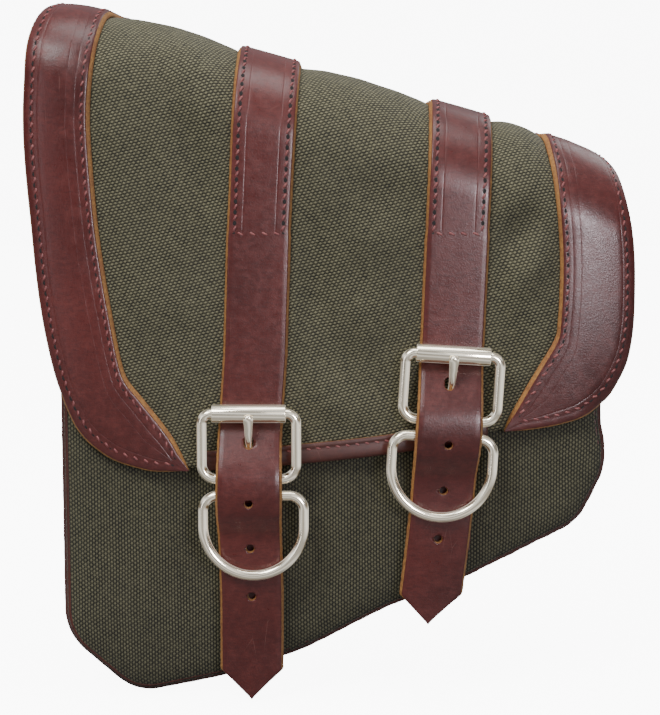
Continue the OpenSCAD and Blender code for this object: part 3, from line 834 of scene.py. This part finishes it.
def stitch_rows(name, rows, pitch, body, gap=0.34, radius=0.57, slant=1.75, raise_by=0.12,
                mat=THREAD, hole_radius=1.36):
    """one piece of thread and one of holes, along rows of (points, normals).
    gap is the share of the pitch between two stitches"""
    thread, holes = ([], []), ([], [])
    for points, normals in rows:
        run = run_length(points)
        end = run[-1]
        count = max(1, int(round(end / pitch)))
        step = end / count

        def at(q, table):
            return np.array([np.interp(q, run, column) for column in table.T])

        def axes_at(q):
            normal = unit(at(q, normals))
            along = unit(at(min(q + 1, end), points) - at(max(q - 1, 0), points))
            return at(q, points), normal, along, np.cross(normal, along)

        for i in range(count + 1):
            add_hole(*holes, axes_at(min(i * step, end)), hole_radius)
            if i < count:
                add_stitch(*thread, axes_at(i * step + step / 2), i, step * (1 - gap), radius,
                           slant, raise_by)
    for full_name, (verts, faces), material, slot in (
            (name, thread, mat, "thread"), (name + "_holes", holes, HOLE, "leather")):
        ob = make(full_name, to_frame(np.array(verts)), faces, [material])
        fix_normals(ob)
        place(ob, body, slot)


# ---------------------------------------------------------------- flap: canvas
def weave(x, z, degrees):
    """uv in mm: along the showing thread, across it"""
    c, s = math.cos(math.radians(degrees)), math.sin(math.radians(degrees))
    return np.stack([x * c + z * s, -x * s + z * c], -1).reshape(-1, 2)


def flap_canvas():
    """rows by arc as far as the fold's end, then evenly down to the lower edge"""
    margin = 1.2    # canvas stops short of the leather's outer edge
    arcs = np.concatenate([np.linspace(-26, -2, 13), np.linspace(-1.5, 8, 16),
                           np.linspace(10, 124, 68)])
    drops = np.linspace(0, 1, 92)[1:]
    across = np.linspace(-1, 1, 176)
    widest = np.where(across < 0, across * FLAP_HALF[0], across * FLAP_HALF[1])
    rows = []
    for arc in arcs:
        shares = []
        for line, half in zip((FLAP_LEFT[:60], FLAP_RIGHT[:60]), FLAP_HALF):
            edge = abs(np.interp(max(arc, 4), arc_at(*line.T), line[:, 0]))
            shares.append(min(1.0, (edge - margin) / half))
        narrow = 1.0 if arc >= 0 else 1 - 0.02 * (1 - math.exp(arc / 6))
        rows.append(np.where(widest < 0, widest * shares[0], widest * shares[1]) * narrow)
    x = np.array(rows + [rows[-1]] * len(drops))
    upper = np.array([unrolled_z(row, arc) for row, arc in zip(rows, arcs)])
    bottom = bottom_z(x[-1]) + margin
    zf = np.vstack([upper, upper[-1] + (bottom - upper[-1]) * drops[:, None]])
    arc = arc_at(x, zf)
    points = flap_point(x, zf, 0.0, pillow(x, zf) + lift(x, zf) + 2.0 * smoothstep(-arc / 4))
    # the sheet turns the hinge line in a small round
    points[..., 1] += np.where(np.abs(arc) < 3.2, 0.35 * np.exp(-(arc / 1.6) ** 2), 0)
    ob = make("flap_canvas_sheet", to_frame(points.reshape(-1, 3)), grid_faces(*x.shape),
              [CANVAS_FLAP_PAINTED_BRIGHTER], uv=weave(x, zf, 13.0))
    if sum(p.normal.y * p.area for p in ob.data.polygons if p.center.z < -0.02) > 0:
        ob.data.flip_normals()
    thicken(ob, 1.6)
    return ob


# ---------------------------------------------------------------- flap: side trims
# for each edge: raw edge's width, raw edge's section (distance, height), distances of the
# top's points from the raw edge, grooves (distance, width, depth), least width with stitches
TRIM_EDGES = {
    "outer": (0.9, [(0.0, 0.12), (0.0, 1.25), (0.9 * 0.6, 2.3)],
              [0.02, 0.2, 0.5, 1.0, 1.9, 2.8, 3.4, 3.8, 4.2, 4.6, 5.1, 5.6, 6.2, 7.0, 7.2,
               7.35, 7.5, 7.7, 9.0, 11.0],
              [(4.2, 0.9, 0.07), (7.35, 0.15, 0.10)], 12.0),
    "inner": (1.85, [(0.0, 0.12), (0.0, 0.9), (1.85 * 0.55, 2.0)],
              [0.02, 0.2, 0.5, 1.0, 1.7, 2.2, 2.6, 3.0, 3.4, 3.9, 4.3, 4.7, 5.6, 5.75, 5.9,
               6.05, 6.2, 8.0, 10.3, 10.5, 10.65, 10.8, 11.0, 12.2],
              [(2.6, 0.9, 0.07), (5.9, 0.15, 0.08), (10.65, 0.13, 0.06)], 13.0)}


def squeeze(dist, width):
    """distance from an edge of a narrowing trim: the margin keeps its width the longest"""
    margin, middle = 6.3, 15.6
    keep_margin = min(1.0, width / 13.4)
    keep_middle = min(1.0, max(0.02, (width - 13.4) / middle))
    return keep_margin * (dist if dist < margin else margin + (dist - margin) * keep_middle)


def trim_top(raw_width, dists, grooves):
    """section (distance, height) of the top, from one raw edge to near the middle"""
    out = []
    for dist in dists:
        lip = 0.42 if dist < 0.1 else 0.14 if dist < 0.3 else 0.03 if dist < 0.6 else 0
        height = TRIM_T - lip - 0.20 * (1 - float(smoothstep(dist / 2.2)))
        for centre, width, depth in grooves:
            height -= depth * bell(dist, centre, width)
        out.append((raw_width + dist, height))
    return out


def trim(side):
    def below_hinge(line):
        return resample(line[arc_at(line[:, 0], line[:, 1]) > 6.0], 300)
    lines = {"left": (FLAP_LEFT, TRIM_IN_LEFT), "right": (FLAP_RIGHT, TRIM_IN_RIGHT)}[side]
    outer, inner = (below_hinge(line) for line in lines)
    widths = np.linalg.norm(outer - inner, axis=1)
    tops = {edge: trim_top(raw, dists, grooves)
            for edge, (raw, _, dists, grooves, _) in TRIM_EDGES.items()}
    thin = TRIM_T - 0.1

    def half_section(edge, width, full, jitter):
        (raw_section, top), flat = (TRIM_EDGES[edge][1], tops[edge]), full / 0.45
        out = [(squeeze(d, width) / width, h) for d, h in raw_section[:2]]
        dist, height = raw_section[2]
        out.append((squeeze(dist + jitter, width) / width, height))
        for d, h in top:
            out.append((squeeze(d, width) / width, h if full > 0.45 else thin - (thin - h) * flat))
        return out

    rings = []
    for i, width in enumerate(widths):
        width = max(width, 0.05)
        full = min(1.0, width / 30.0)
        jitter_out = 0.14 * math.sin(i * 1.9) + 0.10 * math.sin(i * 0.73 + 1)
        jitter_in = (0.17 * math.sin(i * 1.7 + 2) + 0.14 * math.sin(i * 0.61)
                     + 0.10 * math.sin(i * 2.9))
        section = half_section("outer", width, full, jitter_out)
        mirrored = half_section("inner", width, full, jitter_in)[::-1]
        section += [(1 - share, h) for share, h in mirrored] + [(0.5, 0.12)]
        share, height = np.array(section).T
        xz = outer[i][None] * (1 - share[:, None]) + inner[i][None] * share[:, None]
        dome = 0.3 * np.sin(math.pi * np.clip(share, 0, 1)) * (height > 2.4) * full
        rings.append(flap_point(xz[:, 0], xz[:, 1], height + dome))
    ob = sweep("flap_trim_%s_leather" % side, rings, [LEATHER, RAW, FLESH],
               leather_columns(sum(len(top) for top in tops.values()), 2))
    seams = []
    for edge, seam_in in (("outer", 4.6 if side == "left" else 5.2), ("inner", 2.6)):
        raw, least = TRIM_EDGES[edge][0], TRIM_EDGES[edge][-1]
        wide = np.where(widths > least)[0][3:]
        share = np.array([squeeze(raw + seam_in, widths[i]) / widths[i] for i in wide])
        share = (share if edge == "outer" else 1 - share)[:, None]
        xz = outer[wide] * (1 - share) + inner[wide] * share
        seams.append(flap_seam(xz[:, 0], xz[:, 1], TRIM_T - 0.06, TRIM_T + 1))
    return ob, seams


# ---------------------------------------------------------------- flap: lower edge binding
EDGE_SECTION = np.array([  # height above the flap's edge, distance off the flap's face
    (9.5, 0.15), (9.5, 1.25), (9.1, 1.65), (8.0, 1.8), (7.2, 1.62), (6.6, 1.35), (6.0, 1.62),
    (5.0, 1.85), (3.0, 2.0), (1.2, 1.9), (0.1, 1.5), (-0.5, 0.7), (-0.7, -0.3), (-0.4, -1.3),
    (0.3, -1.75), (1.0, -1.7), (0.6, -0.6), (1.3, 0.15)])
EDGE_SEAM_UP = 6.6


def edge_binding():
    line = resample(FLAP_BOTTOM[(FLAP_BOTTOM[:, 0] > -64) & (FLAP_BOTTOM[:, 0] < 82.6)],
                    step=1.6)
    rings = []
    for x, z in line:
        heights = z + EDGE_SECTION[:, 0]
        rings.append(flap_point(x, heights, EDGE_SECTION[:, 1], lift(x, heights)))
    ob = sweep("flap_edge_binding_leather", rings, [LEATHER_THIN, RAW],
               [1] + [0] * (len(EDGE_SECTION) - 1))
    x, z = line[3:-3, 0], line[3:-3, 1] + EDGE_SEAM_UP
    return ob, [flap_seam(x, z, 1.25, 2.4, lift(x, z))]


# ---------------------------------------------------------------- closing straps
STRAP_TIP = {"left": -115.7, "right": -106.1}    # z below the heel bar, along the strap
HOLE_PITCH = 25


def strap_path(side):
    """(z, n) of the strap's inner surface, from the flap's face over the bar to the tip"""
    bar, face = BAR_N + 5.2 + 0.2, FACE_N
    _, bar_z, lean = BUCKLES[side]
    path = [  # height above the heel bar along the strap, n
        [SPLIT_Z - bar_z, face + .1], [55, face + .1], [44, face + .15], [33, face + .3],
        [27, face + 1.6], [20, face + 5.4], [10, face + 10.6], [4, bar - 0.9], [0, bar],
        [-5, bar + .3], [-8.5, bar], [-14.5, bar - 1.4], [-20, bar - 4.8], [-27, bar - 9],
        [-34, face + 3.6], [-42, face + 3.1], [-50, face + 3], [-60, face + 2.4],
        [-70, face + 1.5], [-90, face - .2], [STRAP_TIP[side], face - .8]]
    curve = smooth_curve(path, 10)
    return np.stack([curve[:, 0] * math.cos(lean) + bar_z, curve[:, 1]], 1)


def strap_sections():
    """sections (share of half width, height) of the stitched upper part and the tongue"""
    edge = [0.93, 0.925, 0.905, 0.87]
    inward = [0.84, 0.81, 0.78, 0.755, 0.73, 0.70, 0.66, 0.60, 0.55, 0.53, 0.515, 0.50, 0.48,
              0.40, 0.25, 0.12]
    half = edge + inward
    shares = [-w for w in half] + [0.0] + half[::-1]

    def height(w):
        w = abs(w)
        lip = 0.45 if w > 0.927 else 0.18 if w > 0.92 else 0.05 if w > 0.9 else 0
        worn = 0.18 * (1 - float(smoothstep((0.93 - w) / 0.16)))
        return STRAP_T - lip - worn + 0.10 * (1 - w * w)

    def grooved(grooves):
        top = []
        for w in shares:
            h = height(w)
            for centre, width, depth in grooves:
                h = h - depth * bell(abs(w), centre, width)
            top.append((w, h))
        return np.array([(-1.0, 0.10), (-1.0, 1.0), (-0.965, 2.2)] + top
                        + [(0.965, 2.2), (1.0, 1.0), (1.0, 0.10)]
                        + [(0.5, 0.10), (0.0, 0.10), (-0.5, 0.10)])

    # grooves: share of half width, width, depth
    return (grooved([(0.755, 0.05, 0.06), (0.515, 0.011, 0.12)]),
            grooved([(0.86, 0.02, 0.05)]), len(shares))


def ragged(section, top_count, i):
    """the section with its raw edges moved a little"""
    out = section.copy()
    right = 3 + top_count
    out[2, 0] += 0.008 * math.sin(i * 1.9) + 0.007 * math.sin(i * 0.7)
    out[right, 0] += 0.008 * math.sin(i * 2.1 + 1) + 0.007 * math.sin(i * 0.8)
    out[0:2, 0] += 0.006 * math.sin(i * 1.3 + 2)
    out[right + 1:right + 3, 0] += 0.006 * math.sin(i * 1.5)
    return out


def hole_cutter(x, n, z, radius, depth=40, stretch=0, flare=0):
    """cylinder along n, drawn out upwards by stretch; flare widens one end"""
    bm = bmesh.new()
    bmesh.ops.create_cone(bm, cap_ends=True, segments=28, radius1=(radius + flare) / 1000,
                          radius2=radius / 1000, depth=depth / 1000)
    bmesh.ops.rotate(bm, verts=bm.verts, matrix=Matrix.Rotation(math.pi / 2, 3, "X"))
    for vert in bm.verts:
        vert.co.z += (stretch / 2000) * (1 if vert.co.z > 0 else -1)
    mesh = bpy.data.meshes.new("cut")
    bm.to_mesh(mesh)
    bm.free()
    mesh.materials.append(RAW)
    ob = bpy.data.objects.new("cut", mesh)
    bpy.context.scene.collection.objects.link(ob)
    ob.location = Vector(frame_point(x, n, z))
    return ob


def punch_strap(ob, side, path):
    """the prong's slot, and the spare holes with softened mouths"""
    bar_x, bar_z, lean = BUCKLES[side]

    def spot(along):
        z = along * math.cos(lean) + bar_z
        x = float(strap_x(side, z)) if z < bar_z else bar_x
        return x, float(np.interp(-z, -path[:, 0], path[:, 1])), z

    cutters = [hole_cutter(*spot(18.6), radius=2.35, stretch=1.5)]
    for i in (1, 2, 3):
        x, n, z = spot(14 - HOLE_PITCH * i)
        cutters.append(hole_cutter(x, n, z, radius=1.95))
        cutters.append(hole_cutter(x, n + STRAP_T, z, radius=1.95, depth=1.6, flare=0.55))
    for cutter in cutters:
        mod = ob.modifiers.new("b", "BOOLEAN")
        mod.operation = "DIFFERENCE"
        mod.solver = "EXACT"
        mod.object = cutter
        mod.material_mode = "TRANSFER"
    bpy.context.view_layer.update()
    apply_modifiers(ob)
    for cutter in cutters:
        bpy.data.objects.remove(cutter)


def strap(side):
    bar_z = BUCKLES[side][1]
    upper, tongue, top_count = strap_sections()
    path = resample(strap_path(side), step=1.25)
    tip = path[-1, 0]
    shoulder = tip + 15.2

    def on_flap(z, w):
        """x and zf at w to the side of the strap's middle; square to the hinge near it"""
        return strap_x(side, z) + w, z - smoothstep((z - 78) / 40) * w * SIN / COS

    def start_z(arc):
        return unrolled_z(float(strap_x(side, 150)), arc)

    rings = []
    for i, z in enumerate(np.arange(start_z(7.0), SPLIT_Z + 2, -1.6)):
        share = float(smoothstep((z - 60) / 5))
        section = ragged(upper * share + tongue * (1 - share), top_count, i)
        rings.append(flap_point(*on_flap(z, section[:, 0] * STRAP_HALF), section[:, 1]))
    tangents = unit(np.gradient(path, axis=0))
    for i in range(1, len(path)):
        z, n = path[i]
        normal_z, normal_n = tangents[i][1], -tangents[i][0]
        if z > shoulder:
            half = STRAP_HALF + (0.25 + 0.5 * bell(z, bar_z - 8, 16))
        else:
            half = max(0.25, STRAP_HALF * (z - tip) / (shoulder - tip))
        section = ragged(tongue, top_count, i)
        off = section[:, 1]
        rings.append(np.stack([strap_x(side, z) + section[:, 0] * half,
                               n + off * normal_n, z + off * normal_z], -1))
    ob = sweep("closing_strap_%s" % side, rings, [LEATHER, RAW, FLESH],
               leather_columns(top_count, 4))
    punch_strap(ob, side, path)
    seam_in, end_z = 12.0, SPLIT_Z + 1.0
    heights = np.concatenate([np.arange(start_z(20.0), SPLIT_Z + 1.5, -1.5), [end_z]])
    seams = [flap_seam(*on_flap(heights, sign * seam_in), STRAP_T - .06, STRAP_T + 1)
             for sign in (-1, 1)]
    end_x = np.linspace(-seam_in, seam_in, 14) + strap_x(side, end_z)
    seams.append(flap_seam(end_x, end_z, STRAP_T - .05, STRAP_T + 1))
    return ob, seams


PRONG_PATH = [  # height above the heel bar, n from the bar
    (3.2, 0.1), (9.5, -1.7), (15.2, -3.2), (17.4, -0.5), (20.2, 3.1), (26.0, 5.1),
    (31.5, 6.55), (33.3, 6.5)]
PRONG_HALF_WIDTH = ([3, 17, 21, 27, 31, 32.4, 33.0, 33.3],      # height, half width
                    [1.85, 1.65, 1.75, 2.15, 2.5, 2.3, 1.7, 0.7])
PRONG_HALF_DEPTH = ([3, 31, 32.4, 33.0, 33.3], [1.7, 1.7, 1.55, 1.15, 0.5])
PRONG_LOOP = [(-2.5, 2.75), (-2.5, 4.0), (-2.1, 4.4), (2.1, 4.4), (2.5, 4.0),
              (2.5, 2.75)]    # x, radius about the bar


def prong(side):
    """buckle prong, broader at its upper end, with a closed loop around the heel bar"""
    bar_x, bar_z, lean = BUCKLES[side]
    cos, sin = math.cos(lean), math.sin(lean)

    def put(x, n, z):
        return np.array([bar_x + x * cos + z * sin, n, bar_z + z * cos - x * sin])

    path = resample(smooth_curve([[z, BAR_N + n] for z, n in PRONG_PATH], 8), 60)
    tangents = unit(np.gradient(path, axis=0))
    widths = np.interp(path[:, 0], *PRONG_HALF_WIDTH)
    depths = np.interp(path[:, 0], *PRONG_HALF_DEPTH)
    rows, cols, loop_rows = len(path), 20, 32
    verts = []
    for (z, n), (dz, dn), width, depth in zip(path, tangents, widths, depths):
        for angle in np.linspace(0, 2 * math.pi, cols, endpoint=False):
            off = depth * math.sin(angle)
            verts.append(put(width * math.cos(angle), n + off * dz, z - off * dn))
    faces = list(grid_faces(rows, cols, close_cols=True))
    faces += [tuple(range(cols))[::-1], tuple((rows - 1) * cols + j for j in range(cols))]
    base = len(verts)
    for angle in np.linspace(0, 2 * math.pi, loop_rows, endpoint=False):
        verts += [put(x, BAR_N + r * math.cos(angle), r * math.sin(angle))
                  for x, r in PRONG_LOOP]
    faces += list(grid_faces(loop_rows, len(PRONG_LOOP), close_rows=True, close_cols=True,
                             base=base))
    ob = make("prong_%s" % side, to_frame(np.array(verts)), faces, [NICKEL])
    fix_normals(ob)
    return ob


# ---------------------------------------------------------------- bag body
FRONT_TOP = -38    # rise of the front canvas's upper edge, under the fold


def body_front():
    """front canvas: a triangle mesh that fills the outline"""
    edge = resample(inset(BODY_LINE, 0.8), step=2.0)
    edge = edge[edge[:, 1] < tilted_z(edge[:, 0], FRONT_TOP)]
    top_x = np.linspace(edge[-1][0], edge[0][0], 136)
    edge = np.vstack([edge, np.stack([top_x, tilted_z(top_x, FRONT_TOP)], 1)[1:-1]])
    pitch = 2.1
    grid_x, grid_z = np.meshgrid(np.arange(-137, 141, pitch), np.arange(-178, 150, pitch))
    grid_x = grid_x + pitch / 2 * (np.arange(grid_x.shape[0]) % 2)[:, None]
    dist, _ = line_distance(grid_x, grid_z, np.vstack([edge, edge[:1]]))
    filled = inside(grid_x, grid_z, edge) & (dist > 1.3)
    points = np.vstack([edge, np.stack([grid_x[filled], grid_z[filled]], 1)])
    count = len(edge)
    borders = [(i, (i + 1) % count) for i in range(count)]
    verts, _, faces, *_ = delaunay_2d_cdt([Vector(p) for p in points], borders, [], 1, 1e-4)
    x, z = np.array([(p[0], p[1]) for p in verts]).T
    dist, _ = line_distance(x, z, BODY)
    hidden = smoothstep((z - bottom_z(np.clip(x, -150, 150)) + 1) / 9)    # under the flap
    folds = body_folds(x, z) * smoothstep((dist - 2) / 16)
    for bar_x, bar_z, _ in BUCKLES.values():    # no fold rises behind a strap's tongue
        flat = smoothstep((20.5 - np.abs(x - bar_x)) / 4) * smoothstep((z - (bar_z - 72)) / 5)
        folds = folds * (1 - flat) + flat * np.minimum(folds, -0.1)
    n = BODY_N + body_setback(x, z) + folds * (1 - 0.7 * hidden) - 1.6 * hidden
    ob = make("front_canvas", to_frame(np.stack([x, n, z], -1)), faces, [CANVAS],
              uv=weave(x, z, 90.0))
    fix_normals(ob)
    if sum(p.normal.y * p.area for p in ob.data.polygons) > 0:    # outwards is -y
        ob.data.flip_normals()
    thicken(ob, 1.6)
    return ob


def gusset():
    """canvas band around the sides and bottom, between the back and front bindings"""
    back, front, count = 3.3, 91.6, 330
    depths = np.concatenate([[back, 4.0, 5.2], np.linspace(7, 86, 42), [88.5, 90.3, front]])
    points = np.zeros((count, len(depths), 3))
    uv = np.zeros((count, len(depths), 2))
    for j, n in enumerate(depths):
        # the upper ends follow the flap's fold
        rise = -4.0 if n < 62 else -40 + math.sqrt(36.4 ** 2 - (n - 62) ** 2)
        share = (n - back) / (front - back)
        bulge = -1.6 + 4.4 * math.sin(math.pi * share) ** 0.62
        left, right = tilted_z(-136.3, rise), tilted_z(136.5, rise)
        line = BODY_LINE[BODY_LINE[:, 1] < np.where(BODY_LINE[:, 0] < 0, left, right)]
        line = np.vstack([[[line[0, 0], left]], line, [[line[-1, 0], right]]])
        line = resample(line, count)
        run = np.linspace(0, run_length(line)[-1], count)
        ripple = 0.5 * waves(run, n, 70, seed=5) + 0.25 * waves(run, n * 0.5, 34, seed=6)
        line = inset(line, -(bulge + ripple * math.sin(math.pi * share) ** 0.8))
        points[:, j] = np.stack([line[:, 0], np.full(count, n), line[:, 1]], -1)
        uv[:, j] = np.stack([run, np.full(count, n)], -1)
    ob = make("gusset_canvas", to_frame(points.reshape(-1, 3)), grid_faces(count, len(depths)),
              [CANVAS], uv=uv.reshape(-1, 2))
    centre = to_frame(np.array([0, 50, 0]))
    outward = 0
    for face in ob.data.polygons:
        away = np.array(face.center) - centre
        away[1] = 0
        outward += np.dot(away, np.array(face.normal)) * face.area
    if outward < 0:
        ob.data.flip_normals()
    thicken(ob, 1.9)
    return ob


# lean of the front binding in degrees along the bottom, by x
BINDING_LEAN = ([-136, -100, -60, 0, 60, 110, 128, 140], [62, 58, 52, 46, 36, 26, 28, 46])


def binding_lean(line):
    x, z = line.T
    lean = np.where((z > -130) & (x < 0), 62, np.interp(x, *BINDING_LEAN))
    lean = np.where((z > -50) & (x > 0), 50, lean)
    return np.convolve(np.pad(lean, 10, mode="edge"), np.ones(21) / 21, mode="valid")


def binding(name, back):
    """leather lip around the outline; its section is drawn as (along it, across it)"""
    top = -2.4 if back else FRONT_TOP
    half = 1.6 if back else 1.3    # half thickness
    line = BODY_LINE[BODY_LINE[:, 1] < tilted_z(BODY_LINE[:, 0], top)]
    ends = [[[x, tilted_z(x, top)]] for x in (line[0, 0], line[-1, 0])]
    line = resample(np.vstack([ends[0], line, ends[1]]), step=1.5)
    tangents = unit(np.gradient(line, axis=0))
    outward = np.stack([tangents[:, 1], -tangents[:, 0]], -1)
    leans = np.full(len(line), -4.0) if back else binding_lean(line)
    rings, seam = [], []
    for i, ((x, z), (out_x, out_z), lean) in enumerate(zip(line, outward, leans)):
        lean = math.radians(lean)
        # axes and root of the section, as (outward, n)
        along = np.array([math.cos(lean), -math.sin(lean)])
        across = np.array([math.sin(lean), math.cos(lean)])
        if back:
            root, across, reach = np.array([-2.6, 1.1]), -across, 2.6
        else:
            wobble = (0.18 * math.sin(i * 0.9) + 0.14 * math.sin(i * 0.37 + 1.0)
                      + 0.10 * math.sin(i * 2.3))
            root = np.array([-0.8, 90.35]) - across * half
            reach = ((1.5 - half + 0.8 + half * math.sin(lean)) / math.cos(lean)
                     + 0.8 * wobble)

        def put(u, w):
            out, n = root + along * u + across * w * half
            return np.array([x + out_x * out, n, z + out_z * out])

        section = [(-2.5, 0.9), (-1.0, 1.0), (0.0, 1.0), (0.25 * reach, 0.97),
                   (0.42 * reach, 0.84), (0.6 * reach, 1.0)]
        section += [(reach + half * math.sin(t), math.cos(t))
                    for t in np.linspace(0, math.pi, 9)]
        section += [(0.5 * reach, -1.0), (-1.0, -1.0), (-2.5, -0.9)]
        rings.append([put(u, w) for u, w in section])
        seam.append((put(0.42 * reach, 0.86), put(0.42 * reach, 1.9)))
    ob = sweep(name, rings, [LEATHER_THIN], [0] * len(section))
    seam = np.array(seam)[4:-4]
    return ob, [(seam[:, 0], unit(seam[:, 1] - seam[:, 0]))]


# ---------------------------------------------------------------- CAD pieces that stay
CAD_PARTS = [  # material, bevel width in mm, bevel segments, nodes
    (NICKEL, 0, 0, "mount_buckle_upper_left mount_buckle_upper_right mount_buckle_lower "
     "mount_prong_upper_left mount_prong_upper_right mount_prong_lower "
     "buckle_frame_left buckle_frame_right d_ring_left d_ring_right"),
    (NICKEL, 0.5, 3, "buckle_roller_left buckle_roller_right"),
    (NICKEL, 0.3, 2, "keeper_rivets"),
    (LEATHER_CUT, 0.6, 2, "chape_left chape_right"),
    (LEATHER_CUT, 0.4, 2, "mount_strap_upper_left mount_strap_upper_right mount_strap_lower "
     "keeper_upper_left keeper_upper_right keeper_lower"),
    (LEATHER, 0.5, 2, "back_panel"),
    (LEATHER_THIN, 0.4, 2, "mouth_facing"),
    (BOARD, 0.5, 2, "back_board")]


def dress_cad(node, mat, bevel, segments):
    """material, merged points and slightly rounded edges"""
    ob = frame["nodes"][node]
    if not ob.data.materials:
        ob.data.materials.append(mat)
    for i in range(len(ob.data.materials)):
        ob.data.materials[i] = mat
    ob.modifiers.new("weld", "WELD").merge_threshold = 2e-6
    if bevel:
        mod = ob.modifiers.new("bevel", "BEVEL")
        mod.width = bevel / 1000
        mod.segments = segments
        mod.limit_method = "ANGLE"
        mod.angle_limit = math.radians(38)
        mod.use_clamp_overlap = True


for mat, bevel, segments, nodes in CAD_PARTS:
    for node in nodes.split():
        dress_cad(node, mat, bevel, segments)

# ---------------------------------------------------------------- build the soft pieces
sheet = flap_canvas()
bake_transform(sheet)
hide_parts("flap_canvas", "hinge_strip")
place(body_front(), "bag", "canvas", "front_panel")
place(gusset(), "bag", "canvas", "gusset")

bag_seams, flap_seams = [], []
for node, back in (("front_binding", False), ("back_binding", True)):
    ob, seams = binding(node + "_leather", back)
    place(ob, "bag", "leather_dark", node)
    bag_seams += seams
for side in ("left", "right"):
    ob, seams = trim(side)
    place(ob, "flap", "leather", "flap_trim_" + side)
    flap_seams += seams
    ob, seams = strap(side)
    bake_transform(ob)
    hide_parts("flap_strap_" + side, "strap_tongue_" + side)
    flap_seams += seams
    place(prong(side), "prong_" + side, "nickel", "buckle_prong_" + side)
ob, edge_seams = edge_binding()
place(ob, "flap", "leather_dark", "flap_edge_binding")
stitch_rows("stitches_flap", flap_seams, pitch=5.4, body="flap")
stitch_rows("stitches_flap_edge", edge_seams, pitch=5.0, body="flap", radius=0.5,
            hole_radius=0.8)
stitch_rows("stitches_binding", bag_seams, pitch=4.6, body="bag", radius=0.34, gap=0.35,
            slant=0.3, raise_by=0.0, hole_radius=0.45, mat=THREAD_DARK)


# ---------------------------------------------------------------- stage, light, camera (m)
def stage_floor():
    """floor that the camera sees as glowing white and other rays as grey"""
    half, z = 4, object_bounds()[0][2] - 0.0005
    material, g = new_material("stage_white")
    seen = g.camera_ray()
    g.finish({"Base Color": g.mix(seen, (0.34, 0.34, 0.34), (0.90, 0.90, 0.895)),
              "Roughness": 0.95, "Specular IOR Level": 0.0,
              "Emission Color": (1, 1, 1, 1), "Emission Strength": g.mul(seen, 9.0)})
    corners = [(-half, -half, z), (half, -half, z), (half, half, z), (-half, half, z)]
    make("stage_floor", np.array(corners), [(0, 1, 2, 3)], [material])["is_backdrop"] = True


def studio_world():
    """soft sky, darker below; the camera sees plain white"""
    world = bpy.data.worlds.new("studio")
    bpy.context.scene.world = world
    world.use_nodes = True
    g = Nodes(world.node_tree, "ShaderNodeOutputWorld", "ShaderNodeBackground")
    up = g.split(g.coord("Generated"))[2]
    sky = g.mix(g.remap(up, src=(-0.1, 0.75)), (0.07, 0.07, 0.075), (1.0, 1.02, 1.06))
    seen = g.camera_ray()
    g.finish({"Color": g.mix(seen, sky, (1, 1, 1)), "Strength": g.mul_add(seen, 8.7, 0.62)})


def look_at(ob, target):
    ob.rotation_euler = (Vector(target) - ob.location).to_track_quat("-Z", "Y").to_euler()


LIGHT_TARGET = frame_point(0, 60, 0)


def area(name, at, size, watts, color=(1, 1, 1), diffuse=True):
    light = bpy.data.lights.new(name, "AREA")
    light.shape = "RECTANGLE"
    light.size, light.size_y = size
    light.energy = watts
    light.color = color
    ob = bpy.data.objects.new(name, light)
    bpy.context.scene.collection.objects.link(ob)
    ob.location = at
    ob.visible_diffuse = diffuse
    look_at(ob, LIGHT_TARGET)


def camera():
    data = bpy.data.cameras.new("view")
    ob = bpy.data.objects.new("view", data)
    bpy.context.scene.collection.objects.link(ob)
    data.sensor_fit = "VERTICAL"
    data.sensor_height = data.sensor_width = 36
    data.lens = 85.6
    data.clip_start = 0.01
    elevation, distance = math.radians(7.0), 850    # distance in mm
    target = np.array([0, 104.0, -0.75])
    away = np.array([0, math.cos(elevation), math.sin(elevation)])
    ob.location = Vector(to_frame(target + distance * away))
    look_at(ob, to_frame(target))
    bpy.context.scene.camera = ob


stage_floor()
studio_world()
area("key", at=(-0.75, -1.25, 1.30), size=(0.7, 0.7), watts=23)
area("front", at=(0.5, -1.6, 0.5), size=(0.8, 0.8), watts=2.2)
area("window", at=(0.60, -1.50, 0.17), size=(0.34, 0.36), watts=22, color=(0.98, 0.94, 1.0),
     diffuse=False)
area("side", at=(-1.15, -1.40, 0.05), size=(0.4, 0.8), watts=3.5, color=(0.93, 0.93, 1.0),
     diffuse=False)
area("top", at=(0.1, -0.35, 1.6), size=(1.0, 0.8), watts=16)
area("rim", at=(0.9, 0.9, 1.0), size=(0.8, 0.8), watts=5)
camera()
